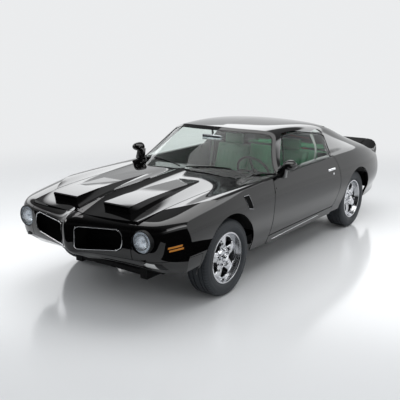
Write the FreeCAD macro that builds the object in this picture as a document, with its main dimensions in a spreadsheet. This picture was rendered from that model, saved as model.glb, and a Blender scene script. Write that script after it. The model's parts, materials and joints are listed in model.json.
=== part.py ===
# Two-door hardtop muscle car, full size, built as separate panels and mechanical parts.
# Frame: the car stands on its tyres at Z 0, its nose points to -Y and its left side is +X.
import FreeCAD
import Part
import math
import os

V = FreeCAD.Vector
doc = FreeCAD.newDocument("muscle_car")

# SIZES: every named length in mm and every named angle in degrees
SIZES = {
    "form_scale": 1000, "nose_reach": 2432, "tail_reach": 2432,
    "fender_wall": 7, "door_wall": 90, "skin_wall": 22, "quarter_wall": 26, "glass_wall": 5, "cowl_sink": 30, "marker_rise": 3,
    "shut_gap": 8, "seam_gap": 4,
    "front_axle": -1393, "rear_axle": 1352, "hub_height": 338,
    "front_track_half": 778, "rear_track_half": 762,
    "arch_radius": 396, "house_radius": 424, "house_wall": 12,
    "tyre_radius": 338, "tyre_width": 222, "bead_radius": 216, "lip_radius": 228,
    "rim_width": 196, "barrel_radius": 196, "bore_radius": 20, "pin_radius": 12, "run_gap": 0.05,
    "hinge_x": 888, "hinge_y": -600, "hinge_pin": 4, "hinge_eye": 9, "hinge_tall": 60,
    "hinge_low": 480, "hinge_high": 760, "hinge_clear": 7,
    "hood_pin": 6, "hood_pin_y": -815, "hood_pin_z": 866,
    "lid_pin": 5, "lid_pin_long": 30, "lid_pin_x": 528, "lid_rod": 8, "lid_pin_y": 1400, "lid_pin_z": 1000, "lid_boss": 16,
    "kingpin_x": 690, "kingpin_pin": 9,
    "wheel_ring": 188, "wheel_grip": 13, "column_x": 372, "column_y": -150, "column_z": 838,
    "column_tilt": 28, "column_shaft": 9,
    "lamp_x": 660, "lamp_y": -2241, "lamp_z": 654, "lamp_radius": 90, "lamp_rim": 6, "seat_gap": 0.3,
    "exhaust_radius": 28, "tip_radius": 32, "tip_long": 80,
    "mirror_x": 945, "mirror_z": 1018, "mirror_tall": 48, "mirror_wide": 68,
}
sheet = doc.addObject("Spreadsheet::Sheet", "dim")
for row, (alias, number) in enumerate(SIZES.items(), start=1):
    sheet.set("A%d" % row, alias)
    sheet.set("B%d" % row, str(number))
    sheet.setAlias("B%d" % row, alias)
doc.recompute()


def size(alias):
    return float(getattr(sheet, alias))


SCALE = size("form_scale")


# HELPERS: primitives with their sizes bound to the sheet by expressions
def bind(obj, prop, text):
    obj.setExpression(prop, text)


def box(label, x0, x1, y0, y1, z0, z1):
    obj = doc.addObject("Part::Box", label)
    bind(obj, "Length", "(%s) - (%s)" % (x1, x0))
    bind(obj, "Width", "(%s) - (%s)" % (y1, y0))
    bind(obj, "Height", "(%s) - (%s)" % (z1, z0))
    bind(obj, "Placement.Base.x", x0)
    bind(obj, "Placement.Base.y", y0)
    bind(obj, "Placement.Base.z", z0)
    return obj


TURNS = {
    "x": FreeCAD.Rotation(V(0, 1, 0), 90),
    "y": FreeCAD.Rotation(V(1, 0, 0), -90),
    "z": FreeCAD.Rotation(),
}


def rod(label, axis, radius, length, x, y, z):
    obj = doc.addObject("Part::Cylinder", label)
    obj.Placement = FreeCAD.Placement(V(), TURNS[axis])
    bind(obj, "Radius", radius)
    bind(obj, "Height", length)
    bind(obj, "Placement.Base.x", x)
    bind(obj, "Placement.Base.y", y)
    bind(obj, "Placement.Base.z", z)
    return obj


def feature(label, shape):
    obj = doc.addObject("Part::Feature", label)
    obj.Shape = shape
    return obj


def fuse(label, parts):
    obj = doc.addObject("Part::MultiFuse", label)
    obj.Shapes = parts
    return obj


def cut(label, base, tools):
    for step, tool in enumerate(tools, start=1):
        last = step == len(tools)
        obj = doc.addObject("Part::Cut", label if last else "%s_step_%d" % (label, step))
        obj.Base = base
        obj.Tool = tool
        base = obj
    return base


def common(label, parts):
    obj = doc.addObject("Part::MultiCommon", label)
    obj.Shapes = parts
    return obj


def mirror(label, source):
    obj = doc.addObject("Part::Mirroring", label)
    obj.Source = source
    obj.Normal = V(1, 0, 0)
    obj.Base = V(0, 0, 0)
    return obj


def block(label, x0, x1, y0, y1, z0, z1):
    """A box whose six faces are shares of form_scale."""
    return box(label, *["%s * dim.form_scale" % share for share in (x0, x1, y0, y1, z0, z1)])


def both(label, left):
    return fuse(label, [left, mirror(label + "_right_half", left)])


def prism(label, axis, low_share, high_share, outline_shares):
    """A flat outline pulled along one axis; every number is a share of form_scale."""
    if axis == "x":
        points = [V(low_share, a, b) * SCALE for a, b in outline_shares]
        pull = V(high_share - low_share, 0, 0) * SCALE
    elif axis == "y":
        points = [V(a, low_share, b) * SCALE for a, b in outline_shares]
        pull = V(0, high_share - low_share, 0) * SCALE
    else:
        points = [V(a, b, low_share) * SCALE for a, b in outline_shares]
        pull = V(0, 0, high_share - low_share) * SCALE
    wire = Part.makePolygon(points + [points[0]])
    return feature(label, Part.Face(wire).extrude(pull))


# BODY LINES: poles of the outer surfaces, as shares of form_scale, nose to tail
station_shares = (-2.5, -2.3, -2.05, -1.75, -1.393, -1.0, -0.55, -0.05,
                  0.45, 0.95, 1.352, 1.75, 2.1, 2.35, 2.5)
flank_shares = (
    ((.750, .780, .805, .822, .832, .836, .838, .838, .838, .840, .840, .832, .785, .725, .680),
     (.200,) * 15),
    ((.760, .790, .815, .832, .842, .846, .848, .848, .848, .850, .850, .840, .795, .735, .690),
     (.330, .320, .308, .300, .296, .295, .296, .298, .300, .304, .310, .320, .345, .375, .390)),
    ((.815, .845, .872, .890, .898, .892, .888, .886, .888, .894, .900, .890, .845, .785, .735),
     (.420, .410, .395, .385, .380, .378, .378, .380, .382, .386, .392, .402, .425, .450, .465)),
    ((.845, .872, .900, .920, .930, .918, .910, .908, .912, .922, .934, .922, .875, .810, .755),
     (.530, .525, .515, .510, .508, .505, .503, .503, .505, .510, .514, .520, .530, .540, .545)),
    ((.845, .872, .903, .925, .936, .922, .914, .912, .918, .932, .944, .928, .877, .810, .755),
     (.640, .640, .645, .648, .650, .650, .650, .652, .656, .662, .664, .655, .635, .615, .600)),
    ((.820, .850, .885, .910, .922, .912, .904, .900, .904, .916, .928, .910, .857, .790, .735),
     (.720, .735, .760, .780, .792, .800, .806, .812, .818, .826, .828, .805, .765, .720, .700)),
    ((.780, .815, .845, .866, .874, .868, .862, .858, .856, .858, .864, .842, .795, .735, .690),
     (.775, .795, .830, .860, .880, .896, .908, .918, .925, .936, .932, .895, .835, .785, .760)),
)
crown_shares = (.745, .800, .850, .885, .912, .935, .950, .950, .950, .950, .950, .920, .860, .805, .780)
top_step_shares = ((.70, -.040), (.56, -.030), (.38, -.014), (.20, -.004), (.07, -.010))
peak_rise_share = .012
top_shoulder_shares = (.024,) * 15
cabin_shoulder_shares = (.024, .024, .024, .024, .024, .024, .022, .025, .026, .036, .042, .036, .030, .026, .024)
cabin_shares = (
    ((.70, .74, .78, .80, .81, .81, .805, .80, .797, .795, .785, .765, .710, .655, .615),
     (.82, .84, .87, .90, .93, .95, .970, .985, .990, .998, .998, .952, .885, .830, .803)),
    ((.64, .66, .68, .70, .72, .73, .735, .735, .730, .722, .700, .665, .620, .590, .570),
     (.84, .86, .90, .94, .98, 1.02, 1.060, 1.085, 1.090, 1.085, 1.055, .985, .900, .842, .815)),
    ((.58, .60, .62, .64, .65, .66, .668, .670, .665, .655, .625, .570, .520, .490, .470),
     (.85, .88, .93, .98, 1.03, 1.09, 1.150, 1.185, 1.190, 1.172, 1.115, 1.010, .908, .848, .820)),
    ((.54, .56, .58, .60, .61, .62, .628, .632, .628, .615, .570, .500, .440, .410, .390),
     (.86, .90, .95, 1.01, 1.07, 1.14, 1.210, 1.255, 1.260, 1.232, 1.150, 1.015, .910, .850, .822)),
    ((.46, .48, .50, .52, .53, .54, .552, .556, .552, .535, .480, .400, .330, .300, .290),
     (.87, .91, .96, 1.02, 1.08, 1.16, 1.240, 1.298, 1.305, 1.268, 1.165, 1.010, .910, .850, .823)),
    ((.30, .32, .34, .35, .36, .36, .360, .360, .360, .340, .300, .250, .220, .200, .190),
     (.88, .92, .97, 1.03, 1.09, 1.17, 1.250, 1.314, 1.328, 1.290, 1.165, .995, .908, .850, .824)),
    ((.12,) * 15,
     (.88, .92, .97, 1.03, 1.10, 1.18, 1.255, 1.320, 1.335, 1.297, 1.163, .985, .905, .850, .824)),
    ((.0,) * 15,
     (.88, .92, .97, 1.03, 1.10, 1.18, 1.256, 1.321, 1.336, 1.298, 1.163, .985, .905, .850, .824)),
)


def flank_rows():
    return [list(zip(xs, zs)) for xs, zs in flank_shares]


def shoulder_row(reach_shares):
    """The first poles above the crease carry on the flank's own slope, so the shoulder is smooth."""
    below, crease = flank_rows()[-2:]
    row = []
    for k, reach in enumerate(reach_shares):
        dx, dz = crease[k][0] - below[k][0], crease[k][1] - below[k][1]
        grow = reach / math.hypot(dx, dz)
        row.append((crease[k][0] + grow * dx, crease[k][1] + grow * dz))
    return row


def top_rows():
    crease_x, crease_z = flank_shares[-1]
    rows = []
    for step, (x_share, drop_share) in enumerate(top_step_shares):
        row = []
        for k, crown in enumerate(crown_shares):
            reach = crease_x[k] / .866
            rim = crease_z[k] + .010
            sink = crown + drop_share
            mix = (.75, .45, .15, .0, .0)[step]
            row.append((x_share * reach, rim * mix + sink * (1 - mix)))
        rows.append(row)
    rows.append([(.0, crown + peak_rise_share) for crown in crown_shares])
    return rows


def cabin_rows():
    return [shoulder_row(cabin_shoulder_shares)] + [list(zip(xs, zs)) for xs, zs in cabin_shares]


def inset_rows(rows, depth):
    """Moves every pole of each cross section inward along the section's own normal."""
    moved = [list(row) for row in rows]
    last = len(rows) - 1
    for k in range(len(station_shares)):
        for j in range(last + 1):
            before = rows[max(j - 1, 0)][k]
            after = rows[min(j + 1, last)][k]
            dx, dz = after[0] - before[0], after[1] - before[1]
            if j in (0, last):
                dx, dz = (0, 1) if j == 0 else (-1, 0)
            reach = math.hypot(dx, dz)
            x, z = rows[j][k]
            moved[j][k] = (x - depth * dz / reach, z + depth * dx / reach)
    for k in range(len(station_shares)):
        moved[0][k] = (rows[0][k][0] - depth, rows[0][k][1])
    return moved


def knots_for(count, degree=3):
    spans = count - degree
    knots = [float(i) for i in range(spans + 1)]
    mults = [degree + 1] + [1] * (spans - 1) + [degree + 1]
    return knots, mults


def net_face(poles):
    u_knots, u_mults = knots_for(len(poles))
    v_knots, v_mults = knots_for(len(poles[0]))
    surface = Part.BSplineSurface()
    surface.buildFromPolesMultsKnots(poles, u_mults, v_mults, u_knots, v_knots, False, False, 3, 3)
    return surface.toShape()


def row_poles(rows, side):
    return [[V(side * rows[j][k][0], station_shares[k], rows[j][k][1]) * SCALE
             for j in range(len(rows))] for k in range(len(station_shares))]


def end_cap(faces, y):
    edges = []
    for face in faces:
        for edge in face.Edges:
            box_y = edge.BoundBox
            if abs(box_y.YMin - y) < 1e-3 and abs(box_y.YMax - y) < 1e-3:
                edges.append(edge)
    ends = [v.Point for e in edges for v in e.Vertexes]
    low = [p for p in ends if p.z < min(q.z for q in ends) + 1e-3]
    edges.append(Part.makeLine(min(low, key=lambda p: p.x), max(low, key=lambda p: p.x)))
    return Part.Face(Part.Wire(Part.__sortEdges__(edges)))


def closed_form(label, upper_rows, depth):
    """A closed solid under the flank surface and either the top or the cabin surface."""
    rows = flank_rows() + upper_rows
    if depth:
        rows = inset_rows(rows, depth / SCALE)
    count = len(flank_shares)
    flank, upper = rows[:count], rows[count - 1:]
    faces = []
    for side in (1, -1):
        faces.append(net_face(row_poles(flank, side)))
        faces.append(net_face(row_poles(upper, side)))
    low_z = flank[0][0][1] * SCALE
    floor_edges = []
    for face in faces:
        for edge in face.Edges:
            if edge.BoundBox.ZMax < low_z + 1e-3:
                floor_edges.append(edge)
    ends = [station_shares[0] * SCALE, station_shares[-1] * SCALE]
    for y in ends:
        tips = [v.Point for e in floor_edges[:2] for v in e.Vertexes if abs(v.Point.y - y) < 1e-3]
        floor_edges.append(Part.makeLine(tips[0], tips[1]))
    faces.append(Part.Face(Part.Wire(Part.__sortEdges__(floor_edges))))
    for y in ends:
        faces.append(end_cap(faces[:4], y))
    shell = Part.makeShell(faces)
    shell.sewShape()
    solid = Part.makeSolid(shell)
    if solid.Volume < 0:
        solid.reverse()
    return feature(label, solid)


low_form = closed_form("low_form", [shoulder_row(top_shoulder_shares)] + top_rows(), 0)
low_proud = closed_form("low_proud", [shoulder_row(top_shoulder_shares)] + top_rows(), -size("marker_rise"))
low_fender = closed_form("low_fender_inside", top_rows(), size("fender_wall"))
low_door = closed_form("low_door_inside", top_rows(), size("door_wall"))
low_skin = closed_form("low_skin_inside", top_rows(), size("skin_wall"))
cowl_form = closed_form("cowl_form", top_rows(), size("cowl_sink"))
cowl_inside = closed_form("cowl_inside", top_rows(), size("cowl_sink") + size("skin_wall"))
high_form = closed_form("high_form", cabin_rows(), 0)
high_skin = closed_form("high_skin_inside", cabin_rows(), size("quarter_wall"))
high_glass = closed_form("high_glass_inside", cabin_rows(), size("glass_wall"))


# OUTLINES: shut lines and openings in side view (Y, Z) and in plan (X, Y)
def curved_prism(label, axis, low_share, high_share, pieces):
    """Like prism, with runs of three or more points joined by one smooth curve."""
    def place(a, b):
        spots = {"x": V(low_share, a, b), "y": V(a, low_share, b), "z": V(a, b, low_share)}
        return spots[axis] * SCALE
    edges = []
    for run in pieces:
        points = [place(a, b) for a, b in run]
        if len(points) == 2:
            edges.append(Part.makeLine(points[0], points[1]))
        else:
            curve = Part.BSplineCurve()
            curve.interpolate(points)
            edges.append(curve.toShape())
    ways = {"x": V(1, 0, 0), "y": V(0, 1, 0), "z": V(0, 0, 1)}
    pull = ways[axis] * (high_share - low_share) * SCALE
    return feature(label, Part.Face(Part.Wire(edges)).extrude(pull))


def slid(run, da, db=0):
    return [(a + da, b + db) for a, b in run]


gap_share = size("shut_gap") / SCALE
seam_share = size("seam_gap") / SCALE
door_front_shares = [(-.700, .300), (-.690, .376), (-.672, .500), (-.650, .650), (-.628, .800), (-.604, .960)]
door_rear_shares = [(.728, .376), (.760, .430), (.796, .500), (.836, .600), (.826, .727), (.796, .840), (.742, .938)]
glass_rear_shares = [(.676, .944), (.734, 1.027), (.804, 1.115), (.852, 1.172)]
glass_top_shares = [(.852, 1.172), (.838, 1.186), (.605, 1.213), (.341, 1.240), (.112, 1.254), (-.040, 1.250)]
front_plan_shares = [(.0, -2.438), (.035, -2.428), (.075, -2.396), (.150, -2.368), (.300, -2.338), (.480, -2.306),
                     (.620, -2.276), (.710, -2.250), (.775, -2.220), (.830, -2.150), (.875, -2.040), (.960, -1.800)]
front_lean_shares = [(.20, .420, .200), (.34, .330, .120), (.405, .200, .050), (.455, .085, .012), (.50, .022, .0),
                     (.56, .0, .0), (.66, .0, .0), (.705, .003, .003), (.738, .012, .012), (.765, .034, .034),
                     (.786, .068, .068), (.800, .120, .120), (.830, .260, .260), (.950, .900, .900)]
hood_front_shares = [(.0, -2.290), (.240, -2.277), (.593, -2.226)]
hood_side_shares = [(.593, -2.226), (.622, -1.900), (.628, -1.500), (.640, -1.100), (.655, -.800)]
hood_rear_shares = [(.655, -.800), (.560, -.838), (.400, -.866), (.0, -.868)]
cowl_front_shares = [(.652, -.752), (.560, -.795), (.400, -.838), (.0, -.846)]
lid_front_shares = [(.0, 1.642), (.300, 1.634), (.560, 1.602)]
lid_side_shares = [(.560, 1.602), (.600, 1.900), (.610, 2.270)]


def mirrored(run):
    return [(-a, b) for a, b in reversed(run)]


def front_solid(label, back_share):
    """All that lies behind the nose surface: a plan line that leans back over the top and tucks in below."""
    columns = mirrored(front_plan_shares)[:-1] + front_plan_shares
    wide = front_plan_shares[-1][0]
    poles = [[V(x, y + centre + (edge - centre) * (x / wide) ** 2 + back_share, z) * SCALE for x, y in columns]
             for z, centre, edge in front_lean_shares]
    return feature(label, net_face(poles).extrude(V(0, 3, 0) * SCALE))


front_face = front_solid("front_face", 0)
front_back = front_solid("front_back", .026)
front_proud = front_solid("front_proud", -.004)
front_rise = front_solid("front_rise", -.010)
front_body = common("front_body", [low_form, front_face])

tail_plan_shares = [(.0, 2.418), (.350, 2.406), (.600, 2.365), (.730, 2.295), (.830, 2.180)]


def tail_prism(label, forward_share):
    run = slid(tail_plan_shares, 0, -forward_share)
    pieces = [run, [run[-1], (1.1, 1.95)], [(1.1, 1.95), (1.1, .5)], [(1.1, .5), (-1.1, .5)],
              [(-1.1, .5), (-1.1, 1.95)], [(-1.1, 1.95), (-run[-1][0], run[-1][1])], mirrored(run)]
    return curved_prism(label, "z", .1, 1.2, pieces)


tail_face = tail_prism("tail_face", 0)
tail_back = tail_prism("tail_back", .024)
tail_proud = tail_prism("tail_proud", -.014)

# ARCHES: wheel openings, cut right through the flanks
front_arch = rod("front_arch", "x", "dim.arch_radius", "2.4 * dim.form_scale", "-1.2 * dim.form_scale", "dim.front_axle", "dim.hub_height")
rear_arch = rod("rear_arch", "x", "dim.arch_radius", "2.4 * dim.form_scale", "-1.2 * dim.form_scale", "dim.rear_axle", "dim.hub_height")
front_foot = prism("front_arch_foot", "x", -1.2, 1.2, [(-1.792, .1), (-1.792, .34), (-1.0, .34), (-1.03, .1)])
rear_foot = prism("rear_arch_foot", "x", -1.2, 1.2, [(.975, .1), (.956, .34), (1.748, .34), (1.70, .1)])
front_arches = [front_arch, front_foot]
rear_arches = [rear_arch, rear_foot]


# PANELS
def shell_of(label, outer, inner):
    return cut(label, outer, [inner])


fender_shell = shell_of("fender_shell", low_form, low_fender)
door_shell = shell_of("door_shell", low_form, low_door)
skin_shell = shell_of("skin_shell", low_form, low_skin)
cabin_shell = shell_of("cabin_shell", high_form, high_skin)
tail_shell = cut("tail_shell", common("tail_block", [high_form, tail_face]), [common("tail_hollow", [high_skin, tail_back])])

half = .3
fender_side = curved_prism("fender_side", "x", half, 1.1, [
    slid(door_front_shares, -gap_share), [(-.604 - gap_share, .960), (-.604 - gap_share, 1.1)],
    [(-.604 - gap_share, 1.1), (-2.4, 1.1)], [(-2.4, 1.1), (-2.4, .500)], [(-2.4, .500), (-1.80, .500)],
    [(-1.80, .500), (-1.80, .300)], [(-1.80, .300), (-.700 - gap_share, .300)]])
fender_plan = curved_prism("fender_plan", "z", .2, 1.2, [
    [(.572, -2.5), (.601, -2.226)], slid(hood_side_shares, gap_share),
    [(.663, -.800), (.690, -.560)], [(.690, -.560), (1.0, -.560)], [(1.0, -.560), (1.0, -2.5)], [(1.0, -2.5), (.572, -2.5)]])
lamp_bore = rod("lamp_bore", "y", "dim.lamp_radius + dim.lamp_rim", "0.3 * dim.form_scale", "dim.lamp_x",
                "dim.lamp_y - 0.12 * dim.form_scale", "dim.lamp_z")
lamp_zone = fuse("lamp_zone", [fender_plan, block("lamp_corner", .572, 1, -2.60, -2.234, .2, 1.2)])
fender_block = cut("fender_block", front_body, [common("fender_hollow", [low_fender, front_back])])
fender_skin = common("fender_skin", [fender_block, fender_side, lamp_zone])
fender_left = cut("fender_left", fender_skin, front_arches + [lamp_bore])
fender_right = mirror("fender_right", fender_left)

nose_rear_shares = [(.0, -2.298), (.240, -2.285), (.566, -2.240)]
nose_region = curved_prism("nose_region", "z", .500, 1.2, [
    nose_rear_shares, [(.566, -2.240), (.566, -2.6)], [(.566, -2.6), (-.566, -2.6)],
    [(-.566, -2.6), (-.566, -2.240)], mirrored(nose_rear_shares)])
nose_shell = cut("nose_shell", common("nose_block", [low_form, front_face]), [common("nose_hollow", [low_skin, front_back])])


def grille_outline(grow):
    g = grow
    return [[(.085, .522 - g), (.440, .560 - g)],
            [(.440, .560 - g), (.482 + .7 * g, .585 - .7 * g), (.496 + g, .630)],
            [(.496 + g, .630), (.496 + g, .672)],
            [(.496 + g, .672), (.482 + .7 * g, .712 + .7 * g), (.440, .728 + g)],
            [(.440, .728 + g), (.105, .712 + g)],
            [(.105, .712 + g), (.082 - .7 * g, .706 + .7 * g), (.072 - g, .685)],
            [(.072 - g, .685), (.066 - g, .545)],
            [(.066 - g, .545), (.070 - .7 * g, .528 - .7 * g), (.085, .522 - g)]]


grille_hole = curved_prism("grille_hole", "y", -2.6, -2.2, grille_outline(.006))
grille_mouth = curved_prism("grille_mouth", "y", -2.6, -2.25, grille_outline(0))
grille_holes = fuse("grille_holes", [grille_hole, mirror("grille_hole_right", grille_hole)])
nose_ear = block("nose_ear", .556, .5717, -2.280, -2.267, .560, .680)
nose = fuse("nose", [cut("nose_face", common("nose_part", [nose_shell, nose_region]), [grille_holes]), both("nose_ears", nose_ear)])
ring_band = cut("ring_band", common("ring_block", [front_proud, grille_hole]), [grille_mouth, front_back])
grille_tube = cut("grille_tube", common("tube_block", [front_back, grille_hole]), [grille_mouth, box("tube_rear", "-dim.form_scale", "dim.form_scale", "-2.262 * dim.form_scale", "0", "0", "dim.form_scale")])
grille_plate = common("grille_plate", [grille_hole, box("grille_slab", "-dim.form_scale", "dim.form_scale", "-2.262 * dim.form_scale", "-2.252 * dim.form_scale", "0", "dim.form_scale")])
grille_left = fuse("grille_left", [ring_band, grille_tube, grille_plate])
grilles = fuse("grilles", [grille_left, mirror("grille_right", grille_left)])

valance_side = prism("valance_side", "x", -1.1, 1.1, [(-2.6, .496), (-1.804, .496), (-1.804, .388), (-1.98, .362), (-2.22, .378), (-2.35, .402), (-2.6, .402)])
valance_shell = cut("valance_shell", common("valance_block", [low_form, front_face]), [common("valance_hollow", [low_skin, front_back])])
parking_hole = prism("parking_hole", "y", -2.6, -2.0, [(.640, .426), (.800, .420), (.790, .476), (.654, .486)])
parking_holes = fuse("parking_holes", [parking_hole, mirror("parking_hole_right", parking_hole)])
valance_ear = block("valance_ear", .640, .680, -2.255, -2.242, .480, .4997)
front_valance = fuse("front_valance", [cut("valance_face", common("valance_part", [valance_shell, valance_side]), [parking_holes]),
                                       both("valance_ears", valance_ear)])
parking_lens = common("parking_lens", [cut("parking_block", front_proud, [front_back]), parking_hole, low_form])
marker_bars = [prism("marker_bar_%d" % k, "x", .7, 1.1, [
    (-2.150 + shift, .600 + rise), (-2.035 + shift, .608 + rise), (-2.032 + shift, .622 + rise), (-2.147 + shift, .614 + rise)])
    for k, (shift, rise) in enumerate(((.0, .0), (.010, -.024)))]
side_marker = cut("side_marker", common("side_marker_block", [low_proud, front_rise, fuse("marker_bars", marker_bars)]), [front_body])
marker_lamps = both("marker_lamps", fuse("marker_left", [parking_lens, side_marker]))

hood_plan = curved_prism("hood_plan", "z", .6, 1.2, [
    hood_front_shares, hood_side_shares, hood_rear_shares, mirrored(hood_rear_shares),
    mirrored(hood_side_shares), mirrored(hood_front_shares)])
hood_skin = common("hood_skin", [skin_shell, hood_plan])
scoop_side = prism("scoop_side", "x", .155, .440, [(-2.130, .80), (-2.148, .868), (-2.135, .876), (-1.90, .897), (-1.55, .911), (-1.15, .917), (-1.15, .86)])
scoop_mouth = prism("scoop_mouth", "x", .171, .424, [(-2.20, .846), (-2.20, .868), (-2.135, .867), (-2.02, .874), (-2.02, .850)])
scoop_taper = prism("scoop_taper", "z", .7, 1.0, [(.155, -2.2), (.440, -2.2), (.395, -1.15), (.200, -1.15)])
scoop = cut("scoop", common("scoop_block", [scoop_side, scoop_taper]), [scoop_mouth, low_skin])
scoop_right = mirror("scoop_right", scoop)

screen_rows_shares = (
    ((.0, -1.00, .82), (.26, -.985, .82), (.52, -.91, .82), (.74, -.79, .82), (.95, -.55, .82)),
    ((.0, -.870, .90), (.25, -.855, .90), (.50, -.785, .90), (.71, -.665, .90), (.91, -.42, .90)),
    ((.0, -.62, 1.06), (.24, -.61, 1.06), (.48, -.55, 1.06), (.68, -.44, 1.06), (.86, -.22, 1.06)),
    ((.0, -.36, 1.225), (.22, -.352, 1.225), (.44, -.31, 1.225), (.62, -.215, 1.225), (.80, -.02, 1.225)),
    ((.0, -.05, 1.42), (.20, -.043, 1.42), (.40, -.005, 1.42), (.56, .07, 1.42), (.74, .24, 1.42)),
)


def screen_solid(label, slide_share, depth_share):
    rows = []
    for row in screen_rows_shares:
        run = [(-x, y, z) for x, y, z in reversed(row[1:])] + list(row)
        rows.append([V(x, y + slide_share, z) * SCALE for x, y, z in run])
    return feature(label, net_face(rows).extrude(V(0, depth_share, 0) * SCALE))


behind_screen = screen_solid("behind_screen", 0, 4)
screen_sheet = screen_solid("screen_sheet", .002, .007)
cowl_well = block("cowl_well", -.6477, .6477, -.850, -.600, .80, 1.1)
screen_zone = block("screen_zone", -1, 1, -1, 1, .88, 1.6)
windscreen = cut("windscreen", common("windscreen_sheet", [screen_sheet, high_skin, screen_zone]),
                 [cut("screen_foot", low_form, [cowl_well]), cut("screen_low", block("screen_low_block", -1, 1, -1, 0, .5, .925), [cowl_well]), cowl_form])

door_window = curved_prism("door_window", "x", -1.1, 1.1, [
    glass_rear_shares, glass_top_shares, [(-.040, 1.250), (-.420, .944)], [(-.420, .944), (.676, .944)]])
rear_opening = curved_prism("rear_opening", "z", .8, 1.6, [
    [(.0, 1.040), (.300, 1.030), (.520, .990)], [(.520, .990), (.600, 1.300), (.640, 1.540)],
    [(.640, 1.540), (.340, 1.575), (.0, 1.585)], [(.0, 1.585), (-.340, 1.575), (-.640, 1.540)],
    [(-.640, 1.540), (-.600, 1.300), (-.520, .990)], [(-.520, .990), (-.300, 1.030), (.0, 1.040)]])
roof_side = prism("roof_side", "x", -1.1, 1.1, [
    (-1.1, .925), (-.470, .925), (-.470, .944), (.55, .944), (.55, 1.18), (1.03, 1.18), (1.03, 1.5), (-1.1, 1.5)])
cabin_front = common("cabin_front", [cabin_shell, behind_screen])
roof = cut("roof", common("roof_part", [cabin_front, roof_side]), [door_window, rear_opening, low_form])

glass_rear_edge_shares = [(.664, .944), (.722, 1.027), (.790, 1.110), (.838, 1.162)]
glass_top_edge_shares = [(.838, 1.162), (.822, 1.176), (.593, 1.203), (.329, 1.230), (.100, 1.244), (-.052, 1.240)]
glass_side = curved_prism("glass_side", "x", .3, 1.1, [
    glass_rear_edge_shares, glass_top_edge_shares, [(-.052, 1.240), (-.402, .944)], [(-.402, .944), (-.402, .900)],
    [(-.402, .900), (.664, .900)], [(.664, .900), (.664, .944)]])
door_glass_left = cut("door_glass_left", common("door_glass_block", [high_form, glass_side]), [high_glass, low_form])
door_glass_right = mirror("door_glass_right", door_glass_left)
rear_window = cut("rear_window", common("rear_window_block", [high_form, rear_opening]), [high_glass])

door_side = curved_prism("door_side", "x", .775, 1.1, [
    door_front_shares[1:], [(-.604, .960), (.594, .960)], [(.594, .960), (.594, .938)],
    [(.594, .938), (.742, .938)], door_rear_shares[::-1], [(.728, .376), (-.690, .376)]])
pocket_low = box("pocket_low", "0.7 * dim.form_scale", "dim.hinge_x + dim.hinge_eye + dim.lamp_rim", "-0.75 * dim.form_scale", "dim.hinge_y + 2.4 * dim.hinge_eye",
                 "dim.hinge_low - dim.hinge_clear", "dim.hinge_low + dim.hinge_tall + dim.hinge_clear")
pocket_high = box("pocket_high", "0.7 * dim.form_scale", "dim.hinge_x + dim.hinge_eye + dim.lamp_rim", "-0.75 * dim.form_scale", "dim.hinge_y + 2.4 * dim.hinge_eye",
                  "dim.hinge_high - dim.hinge_clear", "dim.hinge_high + dim.hinge_tall + dim.hinge_clear")
door_blank = cut("door_blank", common("door_part", [door_shell, door_side]), [pocket_low, pocket_high])
door_pins = [rod("door_pin_low", "z", "dim.hinge_pin", "dim.hinge_tall + 2 * dim.hinge_clear", "dim.hinge_x", "dim.hinge_y", "dim.hinge_low - dim.hinge_clear"),
             rod("door_pin_high", "z", "dim.hinge_pin", "dim.hinge_tall + 2 * dim.hinge_clear", "dim.hinge_x", "dim.hinge_y", "dim.hinge_high - dim.hinge_clear")]
door_left = fuse("door_left", [door_blank] + door_pins)
door_right = mirror("door_right", door_left)

quarter_side = curved_prism("quarter_side", "x", .15, 1.1, [
    slid(door_rear_shares, gap_share), [(.742 + gap_share, .938), (.742 + gap_share, .944)],
    [(.742 + gap_share, .944), (.60, .944)], [(.60, .944), (.60, 1.1797)],
    [(.60, 1.1797), (1.0303, 1.1797)], [(1.0303, 1.1797), (1.0303, 1.5)], [(1.0303, 1.5), (2.290, 1.5)],
    [(2.290, 1.5), (2.290, .300)], [(2.290, .300), (.728 + gap_share, .300)], [(.728 + gap_share, .300), (.728 + gap_share, .376)]])
tulip_plan = curved_prism("tulip_plan", "z", .8, 1.4, [
    [(-.4997, 1.50), (.4997, 1.50)], [(.4997, 1.50), (.4997, 1.602)], [(.4997, 1.602), (.300, 1.622), (.0, 1.630)],
    [(.0, 1.630), (-.300, 1.622), (-.4997, 1.602)], [(-.4997, 1.602), (-.4997, 1.50)]])
lid_plan = curved_prism("lid_plan", "z", .7, 1.4, [
    lid_front_shares, lid_side_shares, [(.610, 2.270), (-.610, 2.270)], mirrored(lid_side_shares), mirrored(lid_front_shares)])
lid_clear = curved_prism("lid_clear", "z", .7, 1.4, [
    [(.0, 1.630), (.300, 1.622), (.560, 1.590)], [(.560, 1.590), (.570, 1.600)], [(.570, 1.600), (.608, 1.900), (.618, 2.278)],
    [(.618, 2.278), (-.618, 2.278)], [(-.618, 2.278), (-.608, 1.900), (-.570, 1.600)], [(-.570, 1.600), (-.560, 1.590)],
    [(-.560, 1.590), (-.300, 1.622), (.0, 1.630)]])
quarter_centre = box("quarter_centre", "-0.5 * dim.form_scale", "0.5 * dim.form_scale", "dim.form_scale",
                     "3 * dim.form_scale", "0.5 * dim.form_scale", "2 * dim.form_scale")
quarter_skin = cut("quarter_skin", common("quarter_part", [tail_shell, quarter_side]),
                   rear_arches + [door_window, rear_opening, lid_clear, quarter_centre])
tulip_panel = cut("tulip_panel", common("tulip_part", [cabin_shell, tulip_plan]), [rear_opening])
lid_skin = common("lid_skin", [cabin_shell, lid_plan])


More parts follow.
